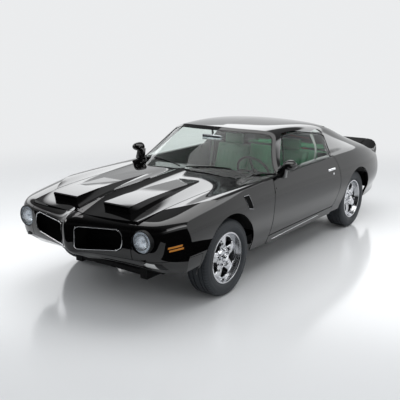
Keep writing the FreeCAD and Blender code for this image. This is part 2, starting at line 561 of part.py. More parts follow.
# TAIL: face, lamps, bumper and spoiler
tail_zone = block("tail_zone", -1.1, 1.1, 2.294, 2.6, .490, 1.2)
tail_lamp_hole = block("tail_lamp_hole", .265, .665, 2.2, 2.6, .655, .765)
lamp_holes = both("lamp_holes", tail_lamp_hole)
tail_panel = cut("tail_panel", common("tail_part", [tail_shell, tail_zone]), [lamp_holes])
tail_lamps = common("tail_lamps", [cut("tail_slab", tail_face, [tail_back]), lamp_holes])
bumper_zone = block("bumper_zone", -1.1, 1.1, 2.22, 2.6, .500, .600)
rear_bumper = cut("rear_bumper", common("bumper_part", [tail_proud, bumper_zone]), [tail_face])
spoiler_shares = [(2.10, .880), (2.25, .912), (2.345, .936), (2.357, .930), (2.342, .882), (2.262, .878), (2.262, .80), (2.10, .80)]
spoiler_bar = prism("spoiler_bar", "x", -.604, .604, spoiler_shares)
spoiler_body = cut("spoiler_body", common("spoiler_trim", [spoiler_bar, block("spoiler_zone", -.60, .60, 2.0, 2.40, .8, 1.2)]), [high_skin])
lid_pin = rod("lid_pin", "x", "dim.lid_pin", "dim.lid_pin_long", "dim.lid_pin_x", "dim.lid_pin_y", "dim.lid_pin_z")
lid_bore = rod("lid_bore", "x", "dim.lid_pin + dim.run_gap", "4 * dim.lid_pin_long", "dim.lid_pin_x - dim.lid_pin_long",
               "dim.lid_pin_y", "dim.lid_pin_z")
lid_arm_shares = [(1.388, .990), (1.552, .786), (1.566, .784), (1.712, .888), (1.716, 1.2), (1.690, 1.2), (1.688, .906),
                  (1.562, .816), (1.412, 1.010)]
lid_boss = rod("lid_boss", "x", "dim.lid_boss", "0.014 * dim.form_scale", "0.536 * dim.form_scale", "dim.lid_pin_y", "dim.lid_pin_z")
lid_arm = common("lid_arm", [fuse("lid_arm_block", [prism("lid_arm_plate", "x", .536, .550, lid_arm_shares), lid_boss]), high_form])
lid_whole = fuse("lid_whole", [lid_skin, spoiler_body, both("lid_arms", lid_arm)])
deck_lid = cut("deck_lid", lid_whole, [both("lid_bores", lid_bore)])
lid_bracket = common("lid_bracket", [rod("lid_cross_rod", "x", "dim.lid_rod", "0.3 * dim.form_scale", "0.555 * dim.form_scale",
                                         "dim.lid_pin_y", "dim.lid_pin_z"), high_form])
spoiler_end_shares = [(.612, .0, .0), (.680, -.006, -.006), (.730, -.026, -.026), (.765, -.060, -.066), (.785, -.100, -.115)]


def spoiler_ring(x, slide, drop):
    points = [V(x, y + slide, z + drop) * SCALE for y, z in spoiler_shares]
    return Part.makePolygon(points + [points[0]])


spoiler_end_bar = feature("spoiler_end_bar", Part.makeLoft([spoiler_ring(*spot) for spot in spoiler_end_shares], True, True))
spoiler_end_keep = common("spoiler_end_keep", [high_form, block("spoiler_end_tail", 0, 1, 2.290, 3, 0, 2)])
spoiler_end = cut("spoiler_end", spoiler_end_bar, [high_skin, spoiler_end_keep])
quarter_left = fuse("quarter_left", [quarter_skin, spoiler_end, lid_bracket, lid_pin])
quarter_right = mirror("quarter_right", quarter_left)

# MIRRORS
mirror_stalk = prism("mirror_stalk", "x", .850, .925, [(-.525, .90), (-.455, .90), (-.440, 1.005), (-.490, 1.005)])
mirror_ring_shares = [(-.525, .18), (-.519, .45), (-.500, .74), (-.470, .93), (-.440, 1.0), (-.425, 1.0)]


def mirror_ring(place, share):
    ring = Part.Ellipse(V(), size("mirror_wide") * share, size("mirror_tall") * share).toShape()
    ring.rotate(V(), V(1, 0, 0), 90)
    ring.translate(V(size("mirror_x"), place * SCALE, size("mirror_z")))
    return Part.Wire(ring)


mirror_head = feature("mirror_head", Part.makeLoft([mirror_ring(*spot) for spot in mirror_ring_shares], True))
mirror_left = cut("door_mirror_left", fuse("mirror_whole", [mirror_stalk, mirror_head]), [low_form])
mirror_right = mirror("door_mirror_right", mirror_left)


# WHEELS: tyre and rim profiles as (across, radius) shares of form_scale, the outer face at +X
def turned(profile_shares):
    points = [V(x, 0, r) * SCALE for x, r in profile_shares]
    wire = Part.makePolygon(points + [points[0]])
    return Part.Face(wire).revolve(V(0, 0, 0), V(1, 0, 0), 360)


tyre_profile_shares = [
    (-.0895, .2162), (.0895, .2162), (.0895, .229), (.103, .240), (.110, .262), (.1105, .285), (.107, .308),
    (.099, .325), (.090, .334), (.074, .3375), (-.074, .3375), (-.090, .334), (-.099, .325),
    (-.107, .308), (-.1105, .285), (-.110, .262), (-.103, .240), (-.0895, .229)]
barrel_profile_shares = [
    (-.098, .228), (-.090, .228), (-.090, .216), (-.055, .216), (-.045, .198), (.030, .198), (.040, .216),
    (.090, .216), (.090, .228), (.098, .228), (.098, .212), (.060, .200), (.045, .192), (-.045, .190),
    (-.060, .208), (-.098, .212)]
dish_profile_shares = [
    (-.060, .020), (-.060, .060), (-.045, .060), (-.045, .148), (-.010, .148), (-.010, .078), (.020, .078),
    (.030, .120), (.034, .194), (.060, .194), (.058, .120), (.050, .078), (.062, .060), (.066, .036),
    (.088, .034), (.090, .0), (.040, .0), (.040, .020)]
window_shares = [(.0, .186), (.050, .180), (.068, .166), (.058, .140), (.026, .100), (.0, .094)]


def rim_shape():
    rim = turned(barrel_profile_shares).fuse(turned(dish_profile_shares))
    run = window_shares + [(-a, r) for a, r in window_shares[::-1][1:-1]]
    points = [V(.022, a, r) * SCALE for a, r in run]
    window = Part.Face(Part.makePolygon(points + [points[0]])).extrude(V(.08, 0, 0) * SCALE)
    for k in range(5):
        turn = window.copy()
        turn.rotate(V(0, 0, 0), V(1, 0, 0), 72 * k + 36)
        rim = rim.cut(turn)
    return rim


TYRE = turned(tyre_profile_shares)
RIM = rim_shape()


def wheel_piece(label, shape, side, half_track, axle):
    obj = doc.addObject("Part::Feature", label)
    obj.Shape = shape if side > 0 else shape.mirror(V(0, 0, 0), V(1, 0, 0))
    obj.Placement = FreeCAD.Placement()
    bind(obj, "Placement.Base.x", "%d * dim.%s" % (side, half_track))
    bind(obj, "Placement.Base.y", "dim.%s" % axle)
    bind(obj, "Placement.Base.z", "dim.hub_height")
    return obj


wheels = {}
corners = (("fl", 1, "front_track_half", "front_axle"), ("fr", -1, "front_track_half", "front_axle"),
           ("rl", 1, "rear_track_half", "rear_axle"), ("rr", -1, "rear_track_half", "rear_axle"))
for code, side, half_track, axle in corners:
    wheels["tyre_" + code] = wheel_piece("tyre_" + code, TYRE, side, half_track, axle)
    wheels["rim_" + code] = wheel_piece("rim_" + code, RIM, side, half_track, axle)

# STEERED KNUCKLES AND FRONT SUSPENSION
knuckle_body = block("knuckle_body", .668, .712, -1.423, -1.363, .258, .428)
spindle = rod("spindle", "x", "dim.bore_radius - dim.run_gap", "0.108 * dim.form_scale", "0.705 * dim.form_scale", "dim.front_axle", "dim.hub_height")
low_stud_bore = rod("low_stud_bore", "z", "dim.kingpin_pin + dim.run_gap", "0.03 * dim.form_scale", "dim.kingpin_x", "dim.front_axle", "0.256 * dim.form_scale")
high_stud_bore = rod("high_stud_bore", "z", "dim.kingpin_pin + dim.run_gap", "0.03 * dim.form_scale", "dim.kingpin_x", "dim.front_axle", "0.400 * dim.form_scale")
knuckle_left = cut("knuckle_left", fuse("knuckle_whole", [knuckle_body, spindle]), [low_stud_bore, high_stud_bore])
knuckle_right = mirror("knuckle_right", knuckle_left)
low_arm = prism("low_arm", "z", .234, .250, [
    (.4253, -1.52), (.48, -1.49), (.66, -1.42), (.71, -1.413), (.71, -1.373), (.66, -1.366), (.48, -1.29), (.4253, -1.26)])
high_arm = prism("high_arm", "z", .436, .450, [(.450, -1.47), (.60, -1.425), (.71, -1.413), (.71, -1.373), (.60, -1.361), (.450, -1.32)])
low_stud = rod("low_stud", "z", "dim.kingpin_pin", "0.040 * dim.form_scale", "dim.kingpin_x", "dim.front_axle", "0.240 * dim.form_scale")
high_stud = rod("high_stud", "z", "dim.kingpin_pin", "0.036 * dim.form_scale", "dim.kingpin_x", "dim.front_axle", "0.406 * dim.form_scale")
spring_tower = block("spring_tower", .4253, .4657, -1.46, -1.33, .250, .600)
suspension_left = fuse("suspension_left", [low_arm, high_arm, low_stud, high_stud, spring_tower])
suspension_arms = both("suspension_arms", suspension_left)

# CHASSIS
rail = block("rail", .350, .425, -1.93, -.50, .200, .285)
cross = block("cross", -.36, .36, -1.52, -1.26, .185, .262)
front_cross = block("front_cross", -.36, .36, -1.92, -1.86, .225, .270)
engine_pad = block("engine_pad", .140, .220, -1.45, -1.35, .262, .2997)
front_subframe = fuse("front_subframe", [both("rails", rail), cross, front_cross, both("engine_pads", engine_pad)])
floor_slab = block("floor_slab", -.74, .74, -.80, .814, .285, .299)
heel_board = block("heel_board", -.602, .602, .80, .814, .285, .380)
seat_pan = block("seat_pan", -.602, .602, .80, 1.18, .366, .380)
hump_riser = block("hump_riser", -.602, .602, 1.166, 1.18, .366, .470)
trunk_floor = block("trunk_floor", -.602, .602, 1.166, 2.29, .456, .470)
floor_gap = block("floor_gap", -.136, .136, -.90, 1.50, .20, .436)
tunnel = cut("tunnel", block("tunnel_outside", -.15, .15, -.80, 1.18, .290, .450), [floor_gap])
floor_middle = cut("floor_middle", fuse("floor_steps", [floor_slab, heel_board, seat_pan, hump_riser]), [floor_gap])
jack_pad = block("jack_pad", .590, .650, .670, .730, .268, .286)
rear_ring = cut("rear_ring", rod("rear_ring_out", "x", "dim.house_radius + dim.house_wall", "0.32 * dim.form_scale",
                                 "0.588 * dim.form_scale", "dim.rear_axle", "dim.hub_height"),
                [rod("rear_ring_in", "x", "dim.house_radius", "0.60 * dim.form_scale", "0.400 * dim.form_scale",
                     "dim.rear_axle", "dim.hub_height")])
rear_house = common("rear_house", [rear_ring, block("rear_house_zone", .588, 1, .90, 1.82, .42, .80), high_skin])
rocker_zone = block("rocker_zone", .64, .95, -.690, .732, .285, .366)
rocker = common("rocker", [low_form, rocker_zone])
pillar_front = cut("pillar_front", block("pillar_front_block", .6603, .750, -.786, -.520, .290, .860),
                   [block("pillar_front_void", .60, .736, -.776, -.56, .32, .84)])
rear_rail = block("rear_rail", .500, .560, 1.18, 2.29, .4363, .456)
wheel_wall = cut("wheel_wall", block("wheel_wall_plate", .588, .602, .880, 1.820, .290, .800),
                 [block("axle_gate", .5, .7, 1.27, 1.44, .2, .44)])
wheel_roof = block("wheel_roof", .588, .905, .920, 1.780, .770, .784)
lock_pillar = block("lock_pillar", .600, .880, .874, .920, .290, .930)
rear_side = common("rear_side", [cut("rear_side_block", fuse("rear_side_whole", [wheel_roof, lock_pillar]), rear_arches), high_skin])
trunk_side = block("trunk_side", .588, .602, 1.820, 2.29, .456, .70)
floor_left = fuse("floor_left", [rocker, pillar_front, rear_rail, wheel_wall, rear_side, trunk_side, rear_house, jack_pad])
floor_pan = fuse("floor_pan", [floor_middle, tunnel, both("floor_sides", floor_left), trunk_floor])

hinge_arms = [box("hinge_arm_" + at, "0.74 * dim.form_scale", "dim.hinge_x", "dim.hinge_y - dim.hinge_eye", "dim.hinge_y + dim.hinge_eye", "dim.hinge_" + at, "dim.hinge_%s + dim.hinge_tall" % at) for at in ("low", "high")]
hinge_eyes = [rod("hinge_eye_" + at, "z", "dim.hinge_eye", "dim.hinge_tall", "dim.hinge_x", "dim.hinge_y", "dim.hinge_" + at) for at in ("low", "high")]
hinge_bore = rod("hinge_bore", "z", "dim.hinge_pin + dim.run_gap", "dim.form_scale", "dim.hinge_x", "dim.hinge_y", "0.2 * dim.form_scale")
hinges_left = cut("hinges_left", fuse("hinges_solid", hinge_arms + hinge_eyes), [hinge_bore, block("hinge_trim", .60, .750, -.8, -.4, .2, 1)])
door_hinges = both("door_hinges", hinges_left)

cowl_plan = curved_prism("cowl_plan", "z", .7, 1.2, [
    cowl_front_shares, [(.0, -.846), (.0, -.60)], [(.0, -.60), (.652, -.48)], [(.652, -.48), (.652, -.752)]])
cowl_top = both("cowl_top", common("cowl_skin", [cut("cowl_shell", cowl_form, [cowl_inside]), cowl_plan]))
cowl_side = common("cowl_side", [block("cowl_side_plate", .648, .660, -.770, -.520, .845, 1), low_form])
firewall = cut("firewall", block("firewall_plate", -.660, .660, -.800, -.786, .2993, .857),
               [block("firewall_gate", -.1503, .1503, -.9, -.7, .2, .4503)])
cowl_tray = block("cowl_tray", -.660, .660, -.800, -.646, .845, .857)
cowl_web = common("cowl_web", [block("cowl_web_plate", -.650, .650, -.660, -.646, .850, 1), cowl_form])
hood_pin = rod("hood_pin", "x", "dim.hood_pin", "0.030 * dim.form_scale", "0.630 * dim.form_scale", "dim.hood_pin_y", "dim.hood_pin_z")
hood_post = fuse("hood_post", [block("hood_post_top", .650, .660, -.835, -.804, .845, .872),
                               block("hood_post_foot", .650, .660, -.835, -.790, .845, .857)])
cowl = fuse("cowl", [cowl_top, firewall, cowl_tray, cowl_web, both("cowl_ends", fuse("cowl_end", [cowl_side, hood_pin, hood_post]))])

house_out = rod("house_out", "x", "dim.house_radius + dim.house_wall", "0.46 * dim.form_scale", "0.480 * dim.form_scale", "dim.front_axle", "dim.hub_height")
house_in = rod("house_in", "x", "dim.house_radius", "0.60 * dim.form_scale", "0.400 * dim.form_scale", "dim.front_axle", "dim.hub_height")
house_arch = common("house_arch", [cut("house_ring", house_out, [house_in]), block("house_zone", .4, 1, -1.82, -.9, .50, 1), low_fender, front_back])
house_wall = cut("house_wall", block("house_wall_slab", .466, .480, -1.90, -.840, .500, .790), [block("house_wall_gap", .4, .5, -1.48, -1.31, .4, .62)])
house_left = fuse("house_left", [house_arch, house_wall])
radiator_frame = cut("radiator_frame", block("radiator_slab", -.60, .60, -1.93, -1.90, .285, .760), [block("radiator_hole", -.34, .34, -2, -1.8, .36, .72)])
radiator = block("radiator", -.34, .34, -1.93, -1.90, .36, .72)
inner_fenders = fuse("inner_fenders", [both("houses", house_left), radiator_frame])

# DRIVE LINE
air_cleaner = rod("air_cleaner", "z", "0.185 * dim.form_scale", "0.065 * dim.form_scale", "0", "-1.33 * dim.form_scale", "0.700 * dim.form_scale")
engine = fuse("engine", [block("engine_block", -.26, .26, -1.66, -.98, .300, .640), block("engine_heads", -.34, .34, -1.60, -1.06, .560, .700),
                         air_cleaner, block("gearbox", -.125, .125, -.98, -.20, .262, .420)])
prop_shaft = rod("prop_shaft", "y", "0.035 * dim.form_scale", "1.44 * dim.form_scale", "0", "-0.20 * dim.form_scale", "0.335 * dim.form_scale")
axle_tube = rod("axle_tube", "x", "0.038 * dim.form_scale", "1.32 * dim.form_scale", "-0.66 * dim.form_scale", "dim.rear_axle", "dim.hub_height")
axle_nut = block("axle_nut", -.125, .125, 1.24, 1.47, .225, .425)
axle_stub = rod("axle_stub", "x", "dim.bore_radius - dim.run_gap", "0.142 * dim.form_scale", "0.655 * dim.form_scale", "dim.rear_axle", "dim.hub_height")
leaf = prism("leaf", "x", .515, .550, [
    (.93, .3657), (.93, .335), (1.20, .275), (1.50, .275), (2.10, .405), (2.10, .436), (2.06, .436), (1.48, .302),
    (1.22, .302), (.97, .3657)])
rear_axle = fuse("rear_axle", [axle_tube, axle_nut, both("axle_stubs", axle_stub), both("leaves", leaf)])
pipe = rod("pipe", "y", "dim.exhaust_radius", "3.34 * dim.form_scale", "0.235 * dim.form_scale", "-1.05 * dim.form_scale", "0.215 * dim.form_scale")
pipe_tip = rod("pipe_tip", "y", "dim.tip_radius", "dim.tip_long", "0.235 * dim.form_scale", "2.27 * dim.form_scale",
               "0.215 * dim.form_scale")
riser = block("pipe_riser", .215, .255, -1.07, -1.02, .215, .2997)
muffler = block("muffler", .170, .300, .30, .95, .165, .265)
hanger = block("pipe_hanger", .228, .242, .60, .62, .260, .2847)
exhaust = both("exhaust", fuse("exhaust_left", [pipe, pipe_tip, riser, muffler, hanger]))
fuel_tank = block("fuel_tank", -.42, .42, 1.82, 2.26, .262, .4557)

# CABIN
dash_profile = prism("dash_profile", "x", -.640, .640, [
    (-.6457, .70), (-.6457, .96), (-.44, .935), (-.39, .875), (-.40, .740), (-.45, .660), (-.60, .640)])
dash_pad = common("dash_pad", [dash_profile, cowl_inside])
column_shape = Part.makeCylinder(26, 320, V(0, 0, -345), V(0, 0, 1)).fuse(Part.makeCylinder(9, 36, V(0, 0, -30), V(0, 0, 1)))
wheel_tilt = FreeCAD.Rotation(V(1, 0, 0), -90 + 28)
column = feature("column", column_shape)
column.Placement = FreeCAD.Placement(V(), wheel_tilt)
wheel_hub = Part.makeCylinder(34, 44, V(0, 0, -22), V(0, 0, 1)).cut(Part.makeCylinder(9.05, 60, V(0, 0, -50), V(0, 0, 1)))
steering_shape = Part.makeTorus(188, 13).fuse(wheel_hub)
for turn in (0, 90, 180):
    spoke = Part.makeBox(158, 26, 8, V(28, -13, -4))
    spoke.rotate(V(0, 0, 0), V(0, 0, 1), turn + 180)
    steering_shape = steering_shape.fuse(spoke)
steering_wheel = feature("steering_wheel", steering_shape)
steering_wheel.Placement = FreeCAD.Placement(V(), wheel_tilt)
for piece in (column, steering_wheel):
    bind(piece, "Placement.Base.x", "dim.column_x")
    bind(piece, "Placement.Base.y", "dim.column_y")
    bind(piece, "Placement.Base.z", "dim.column_z")
dashboard = fuse("dashboard", [dash_pad, column])
console = block("console", -.13, .13, -.38, .42, .4503, .580)
seat_base = prism("seat_base", "x", .150, .610, [
    (-.10, .2993), (-.10, .420), (.02, .455), (.42, .430), (.50, .400), (.44, .2993)])
seat_back = prism("seat_back", "x", .150, .610, [(.40, .380), (.50, .360), (.56, .420), (.70, .960), (.66, 1.0), (.60, .985)])
head_rest = block("head_rest", .250, .510, .610, .690, .980, 1.120)
front_seats = both("front_seats", fuse("front_seat_left", [seat_base, seat_back, head_rest]))
rear_cushion = prism("rear_cushion", "x", -.580, .580, [(.816, .3803), (.80, .470), (.85, .500), (1.15, .462), (1.15, .3803)])
rear_back = prism("rear_back", "x", -.580, .580, [
    (1.16, .4703), (1.27, .4703), (1.38, .870), (1.37, .8997), (1.32, .8997)])
rear_tunnel = block("rear_tunnel", -.1503, .1503, .7, 1.3, .2, .4503)
rear_step = block("rear_step", -.62, .62, 1.1497, 1.3, .2, .4703)
rear_seat = fuse("rear_seat", [cut("rear_cushion_cut", rear_cushion, [rear_tunnel]), cut("rear_back_cut", rear_back, [rear_step])])
rear_shelf = cut("rear_shelf", block("shelf_plate", -.600, .600, 1.32, 1.60, .900, .914),
                 [both("shelf_slots", block("shelf_slot", .526, .560, 1.38, 1.7, .8, 1))])

# HOOD AND LID FITTINGS
hood_ear_bore = rod("hood_ear_bore", "x", "dim.hood_pin + dim.run_gap", "0.040 * dim.form_scale", "0.62 * dim.form_scale",
                    "dim.hood_pin_y", "dim.hood_pin_z")
hood_ear_plate = common("hood_ear_plate", [block("hood_ear_block", .634, .644, -.840, -.803, .854, .95), low_form])
hood_ear = cut("hood_ear", hood_ear_plate, [hood_ear_bore])
hood_full = fuse("hood", [hood_skin, scoop, scoop_right, both("hood_ears", hood_ear)])

# LAMPS
lamp_ball = rod("lamp_glass", "y", "dim.lamp_radius", "0.060 * dim.form_scale", "dim.lamp_x", "dim.lamp_y - 0.025 * dim.form_scale", "dim.lamp_z")
lamp_can = rod("lamp_can", "y", "dim.lamp_radius + dim.lamp_rim - dim.seat_gap", "0.050 * dim.form_scale", "dim.lamp_x",
               "dim.lamp_y", "dim.lamp_z")
headlamps = both("headlamps", fuse("headlamp_left", [lamp_ball, lamp_can]))
doc.recompute()

# NODES: one STEP file each
nodes = {
    "fender_left": fender_left, "fender_right": fender_right, "nose": nose, "grilles": grilles,
    "front_valance": front_valance, "marker_lamps": marker_lamps, "headlamps": headlamps, "hood": hood_full,
    "cowl": cowl, "windscreen": windscreen, "roof": roof, "rear_window": rear_window,
    "door_left": door_left, "door_right": door_right, "door_glass_left": door_glass_left,
    "door_glass_right": door_glass_right, "door_mirror_left": mirror_left, "door_mirror_right": mirror_right,
    "door_hinges": door_hinges, "quarter_left": quarter_left, "quarter_right": quarter_right,
    "tulip_panel": tulip_panel, "deck_lid": deck_lid, "tail_panel": tail_panel, "tail_lamps": tail_lamps,
    "rear_bumper": rear_bumper, "floor_pan": floor_pan, "front_subframe": front_subframe,
    "suspension_arms": suspension_arms, "inner_fenders": inner_fenders, "radiator": radiator, "engine": engine,
    "prop_shaft": prop_shaft, "rear_axle": rear_axle, "exhaust": exhaust, "fuel_tank": fuel_tank,
    "dashboard": dashboard, "steering_wheel": steering_wheel, "console": console, "front_seats": front_seats,
    "rear_seat": rear_seat, "rear_shelf": rear_shelf, "knuckle_left": knuckle_left, "knuckle_right": knuckle_right,
}
nodes.update(wheels)
os.makedirs("parts", exist_ok=True)
for old in os.listdir("parts"):
    os.remove(os.path.join("parts", old))
for name, obj in nodes.items():
    shape = obj.Shape
    bad = shape.isNull() or not shape.isValid() or not shape.Solids
    if bad:
        print("BAD", name, shape.isNull(), len(shape.Solids))
        continue
    shape.exportStep("parts/%s.step" % name)
    b = shape.optimalBoundingBox(False, False)
    print(name, len(shape.Solids), [round(v) for v in (b.XMin, b.XMax, b.YMin, b.YMax, b.ZMin, b.ZMax)])
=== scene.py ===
# %% [markdown]
# A full-size two-door muscle car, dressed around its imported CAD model.

# %% Load the frame
import bpy
import bmesh
import json
import math
import numpy as np
from mathutils import Matrix, Vector, kdtree

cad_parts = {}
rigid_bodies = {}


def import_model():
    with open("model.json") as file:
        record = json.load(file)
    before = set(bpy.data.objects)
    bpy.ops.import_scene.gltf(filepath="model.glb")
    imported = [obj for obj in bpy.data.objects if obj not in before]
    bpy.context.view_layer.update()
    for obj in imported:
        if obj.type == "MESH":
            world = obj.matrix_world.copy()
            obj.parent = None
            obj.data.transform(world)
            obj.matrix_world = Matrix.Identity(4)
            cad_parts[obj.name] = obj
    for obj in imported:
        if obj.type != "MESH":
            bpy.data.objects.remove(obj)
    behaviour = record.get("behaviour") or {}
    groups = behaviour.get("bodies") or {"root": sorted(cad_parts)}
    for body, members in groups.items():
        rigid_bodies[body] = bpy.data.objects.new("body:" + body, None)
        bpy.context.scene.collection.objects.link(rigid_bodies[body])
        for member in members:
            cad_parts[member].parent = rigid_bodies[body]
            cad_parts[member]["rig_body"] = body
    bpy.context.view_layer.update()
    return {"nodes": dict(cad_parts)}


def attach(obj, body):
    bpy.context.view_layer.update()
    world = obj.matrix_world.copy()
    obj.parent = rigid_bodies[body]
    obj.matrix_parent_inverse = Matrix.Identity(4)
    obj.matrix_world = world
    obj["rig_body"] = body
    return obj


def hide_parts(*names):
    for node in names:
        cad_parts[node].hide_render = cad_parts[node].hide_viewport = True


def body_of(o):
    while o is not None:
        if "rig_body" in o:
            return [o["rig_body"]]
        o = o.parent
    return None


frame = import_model()
NODES = frame["nodes"]

# %% [markdown]
# A few helpers serve the whole script. They put an object into the scene, name the body that carries a CAD
# piece, and finish a piece that rides on a body. add_node, join and new_group build every node tree below.

# %% Helpers for pieces and node trees
SIDES = ((1, "left"), (-1, "right"))


def add_object(name, data):
    obj = bpy.data.objects.new(name, data)
    bpy.context.scene.collection.objects.link(obj)
    return obj


def body_name(node):
    carried = body_of(NODES[node])
    return carried if isinstance(carried, str) else carried[0]


def add_piece(name, made, materials, node, replaced=()):
    """A piece that rides on the body of a CAD piece, and stands for the CAD pieces that it replaces."""
    for material in materials:
        made.materials.append(material)
    obj = add_object(name, made)
    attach(obj, body_name(node))
    if replaced:
        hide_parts(*replaced)
    return obj


def evaluated_mesh(obj):
    return bpy.data.meshes.new_from_object(obj.evaluated_get(bpy.context.evaluated_depsgraph_get()))


def add_node(tree, kind, **values):
    """A new node. Each value goes to the input of that name, or else to the node's own setting."""
    node = tree.nodes.new(kind)
    for key, value in values.items():
        if key.replace("_", " ") in node.inputs:
            node.inputs[key.replace("_", " ")].default_value = value
        else:
            setattr(node, key, value)
    return node


def join(tree, *wires):
    """Joins nodes. Each wire is (from node, output, to node, input)."""
    for source, out, target, into in wires:
        tree.links.new(source.outputs[out], target.inputs[into])


def new_group(name, kind, inputs, outputs):
    """A node group and its two end nodes. A socket is (name, type) or (name, type, value)."""
    group = bpy.data.node_groups.new(name, kind)
    for in_out, sockets in (("INPUT", inputs), ("OUTPUT", outputs)):
        for label, socket_type, *value in sockets:
            socket = group.interface.new_socket(name=label, in_out=in_out,
                                                socket_type="NodeSocket" + socket_type)
            if value:
                socket.default_value = value[0]
    return group, group.nodes.new("NodeGroupInput"), group.nodes.new("NodeGroupOutput")


print("helpers ready")

# %% [markdown]
# The camera stands where the photograph was taken: in front of the car, to its left and above the roof
# line. Azimuth, elevation and roll turn a camera that looks at the middle of the body.

# %% Camera
AZIMUTH, ELEVATION, ROLL = math.radians(35.7), math.radians(13.61), math.radians(0.38)
CAMERA_PLACE = Vector((3.711, -5.750, 2.107))
LENS_MM, SENSOR_MM = 57.1, 36.0


def add_camera():
    back = Vector((math.sin(AZIMUTH) * math.cos(ELEVATION), -math.cos(AZIMUTH) * math.cos(ELEVATION),
                   math.sin(ELEVATION)))
    right = Vector((0, 0, 1)).cross(back).normalized()
    turn = Matrix.Rotation(ROLL, 3, back)
    rows = Matrix((turn @ right, turn @ back.cross(right), back)).transposed().to_4x4()
    camera = add_object("camera", bpy.data.cameras.new("camera"))
    camera.matrix_world = Matrix.Translation(CAMERA_PLACE) @ rows
    camera.data.lens, camera.data.sensor_width = LENS_MM, SENSOR_MM
    camera.data.dof.use_dof = False
    bpy.context.scene.camera = camera


add_camera()
bpy.context.scene.view_settings.view_transform = "Standard"
print("camera at", tuple(CAMERA_PLACE))

# %% [markdown]
# Real finishes are never quite even. One shared node group gives fine mottling: a noise pattern in metres
# on Object coordinates, stretched between two values, that feeds roughness or a bump. Another one gives the
# moulded ribs of a lens.

# %% Shared groups
def make_uneven_group():
    group, given, out = new_group("uneven_finish", "ShaderNodeTree",
                                  [("Scale", "Float", 40.0), ("Detail", "Float", 4.0), ("Low", "Float", 0.2),
                                   ("High", "Float", 0.3)], [("Value", "Float"), ("Pattern", "Float")])
    coords, noise = add_node(group, "ShaderNodeTexCoord"), add_node(group, "ShaderNodeTexNoise")
    span = add_node(group, "ShaderNodeMapRange", From_Min=0.3, From_Max=0.7)
    join(group, (coords, "Object", noise, "Vector"), (given, "Scale", noise, "Scale"),
         (given, "Detail", noise, "Detail"), (noise, "Fac", span, "Value"), (given, "Low", span, "To Min"),
         (given, "High", span, "To Max"), (span, "Result", out, "Value"), (noise, "Fac", out, "Pattern"))
    return group


def make_rib_group():
    group, given, out = new_group("lens_ribs", "ShaderNodeTree", [("Scale", "Float", 55.0)],
                                  [("Height", "Float")])
    coords = add_node(group, "ShaderNodeTexCoord")
    wave = add_node(group, "ShaderNodeTexWave", bands_direction="X", Distortion=0.0)
    join(group, (coords, "Object", wave, "Vector"), (given, "Scale", wave, "Scale"),
         (wave, "Fac", out, "Height"))
    return group


UNEVEN, RIBS = make_uneven_group(), make_rib_group()
print("shared groups:", UNEVEN.name, RIBS.name)

# %% [markdown]
# Each material starts from one Principled shader, with the shared groups placed in it where its recipe
# asks.

# %% Material recipes
def shader_of(mat):
    return mat.node_tree.nodes["Principled BSDF"]


def add_relief(mat, source, out, strength, deep):
    """Turns an output into a bump on the material."""
    relief = add_node(mat.node_tree, "ShaderNodeBump", Strength=strength, Distance=deep)
    join(mat.node_tree, (source, out, relief, "Height"), (relief, "Normal", shader_of(mat), "Normal"))


def new_material(name, color, rough, metal=0.0, mottle=None, bump=0.0, ribs=None, **sockets):
    """mottle is (scale, low, high) for roughness, bump its depth, and ribs are (scale, strength, depth)."""
    mat = bpy.data.materials.new(name)
    mat.use_nodes = True
    shader = shader_of(mat)
    shader.inputs["Base Color"].default_value = mat.diffuse_color = (*color, 1)
    shader.inputs["Roughness"].default_value, shader.inputs["Metallic"].default_value = rough, metal
    for key, value in sockets.items():
        shader.inputs[key.replace("_", " ")].default_value = value
    if mottle:
        spread = add_node(mat.node_tree, "ShaderNodeGroup", node_tree=UNEVEN, Scale=mottle[0], Low=mottle[1],
                          High=mottle[2])
        join(mat.node_tree, (spread, "Value", shader, "Roughness"))
        if bump:
            add_relief(mat, spread, "Pattern", 1.0, bump)
    if ribs:
        wave = add_node(mat.node_tree, "ShaderNodeGroup", node_tree=RIBS, Scale=ribs[0])
        add_relief(mat, wave, "Height", *ribs[1:])
    return mat


PAINT = new_material("black_paint", (0.0022, 0.0021, 0.0022), 0.04, mottle=(3, .025, .05),
                     Specular_IOR_Level=0.55)
UNDERSIDE = new_material("underbody_black", (0.006, 0.006, 0.0065), 0.7, mottle=(60, .6, .85), bump=0.0004,
                         Specular_IOR_Level=0.25)
CHROME = new_material("chrome", (0.82, 0.83, 0.85), 0.06, 1.0, mottle=(8, .04, .09))
ALLOY = new_material("polished_aluminium", (0.56, 0.57, 0.59), 0.18, 1.0, mottle=(90, .14, .22), bump=0.00001)
CAST = new_material("cast_iron", (0.05, 0.05, 0.052), 0.6, 0.6, mottle=(120, .5, .75), bump=0.0003)
PIPE_STEEL = new_material("exhaust_steel", (0.42, 0.41, 0.39), 0.35, 1.0, mottle=(25, .25, .5))
TRIM = new_material("black_trim", (0.006, 0.006, 0.0065), 0.42, mottle=(400, .38, .5), bump=0.0001,
                    Specular_IOR_Level=0.2)
GRILLE_BLACK = new_material("grille_black", (0.0022, 0.0022, 0.0022), 0.6, mottle=(200, .5, .7),
                            Specular_IOR_Level=0.03)
TYRE = new_material("tyre_rubber", (0.021, 0.025, 0.030), 0.62, mottle=(180, .5, .72), bump=0.0002)
GLASS = new_material("window_glass", (0.90, 0.94, 0.92), 0.0, Transmission_Weight=1.0, IOR=1.10)
SCREEN_GLASS = new_material("windscreen_glass", (0.88, 0.93, 0.91), 0.0, Transmission_Weight=1.0, IOR=1.22)
LAMP_GLASS = new_material("lamp_glass", (0.86, 0.89, 0.92), 0.05, Transmission_Weight=0.9, IOR=1.2)
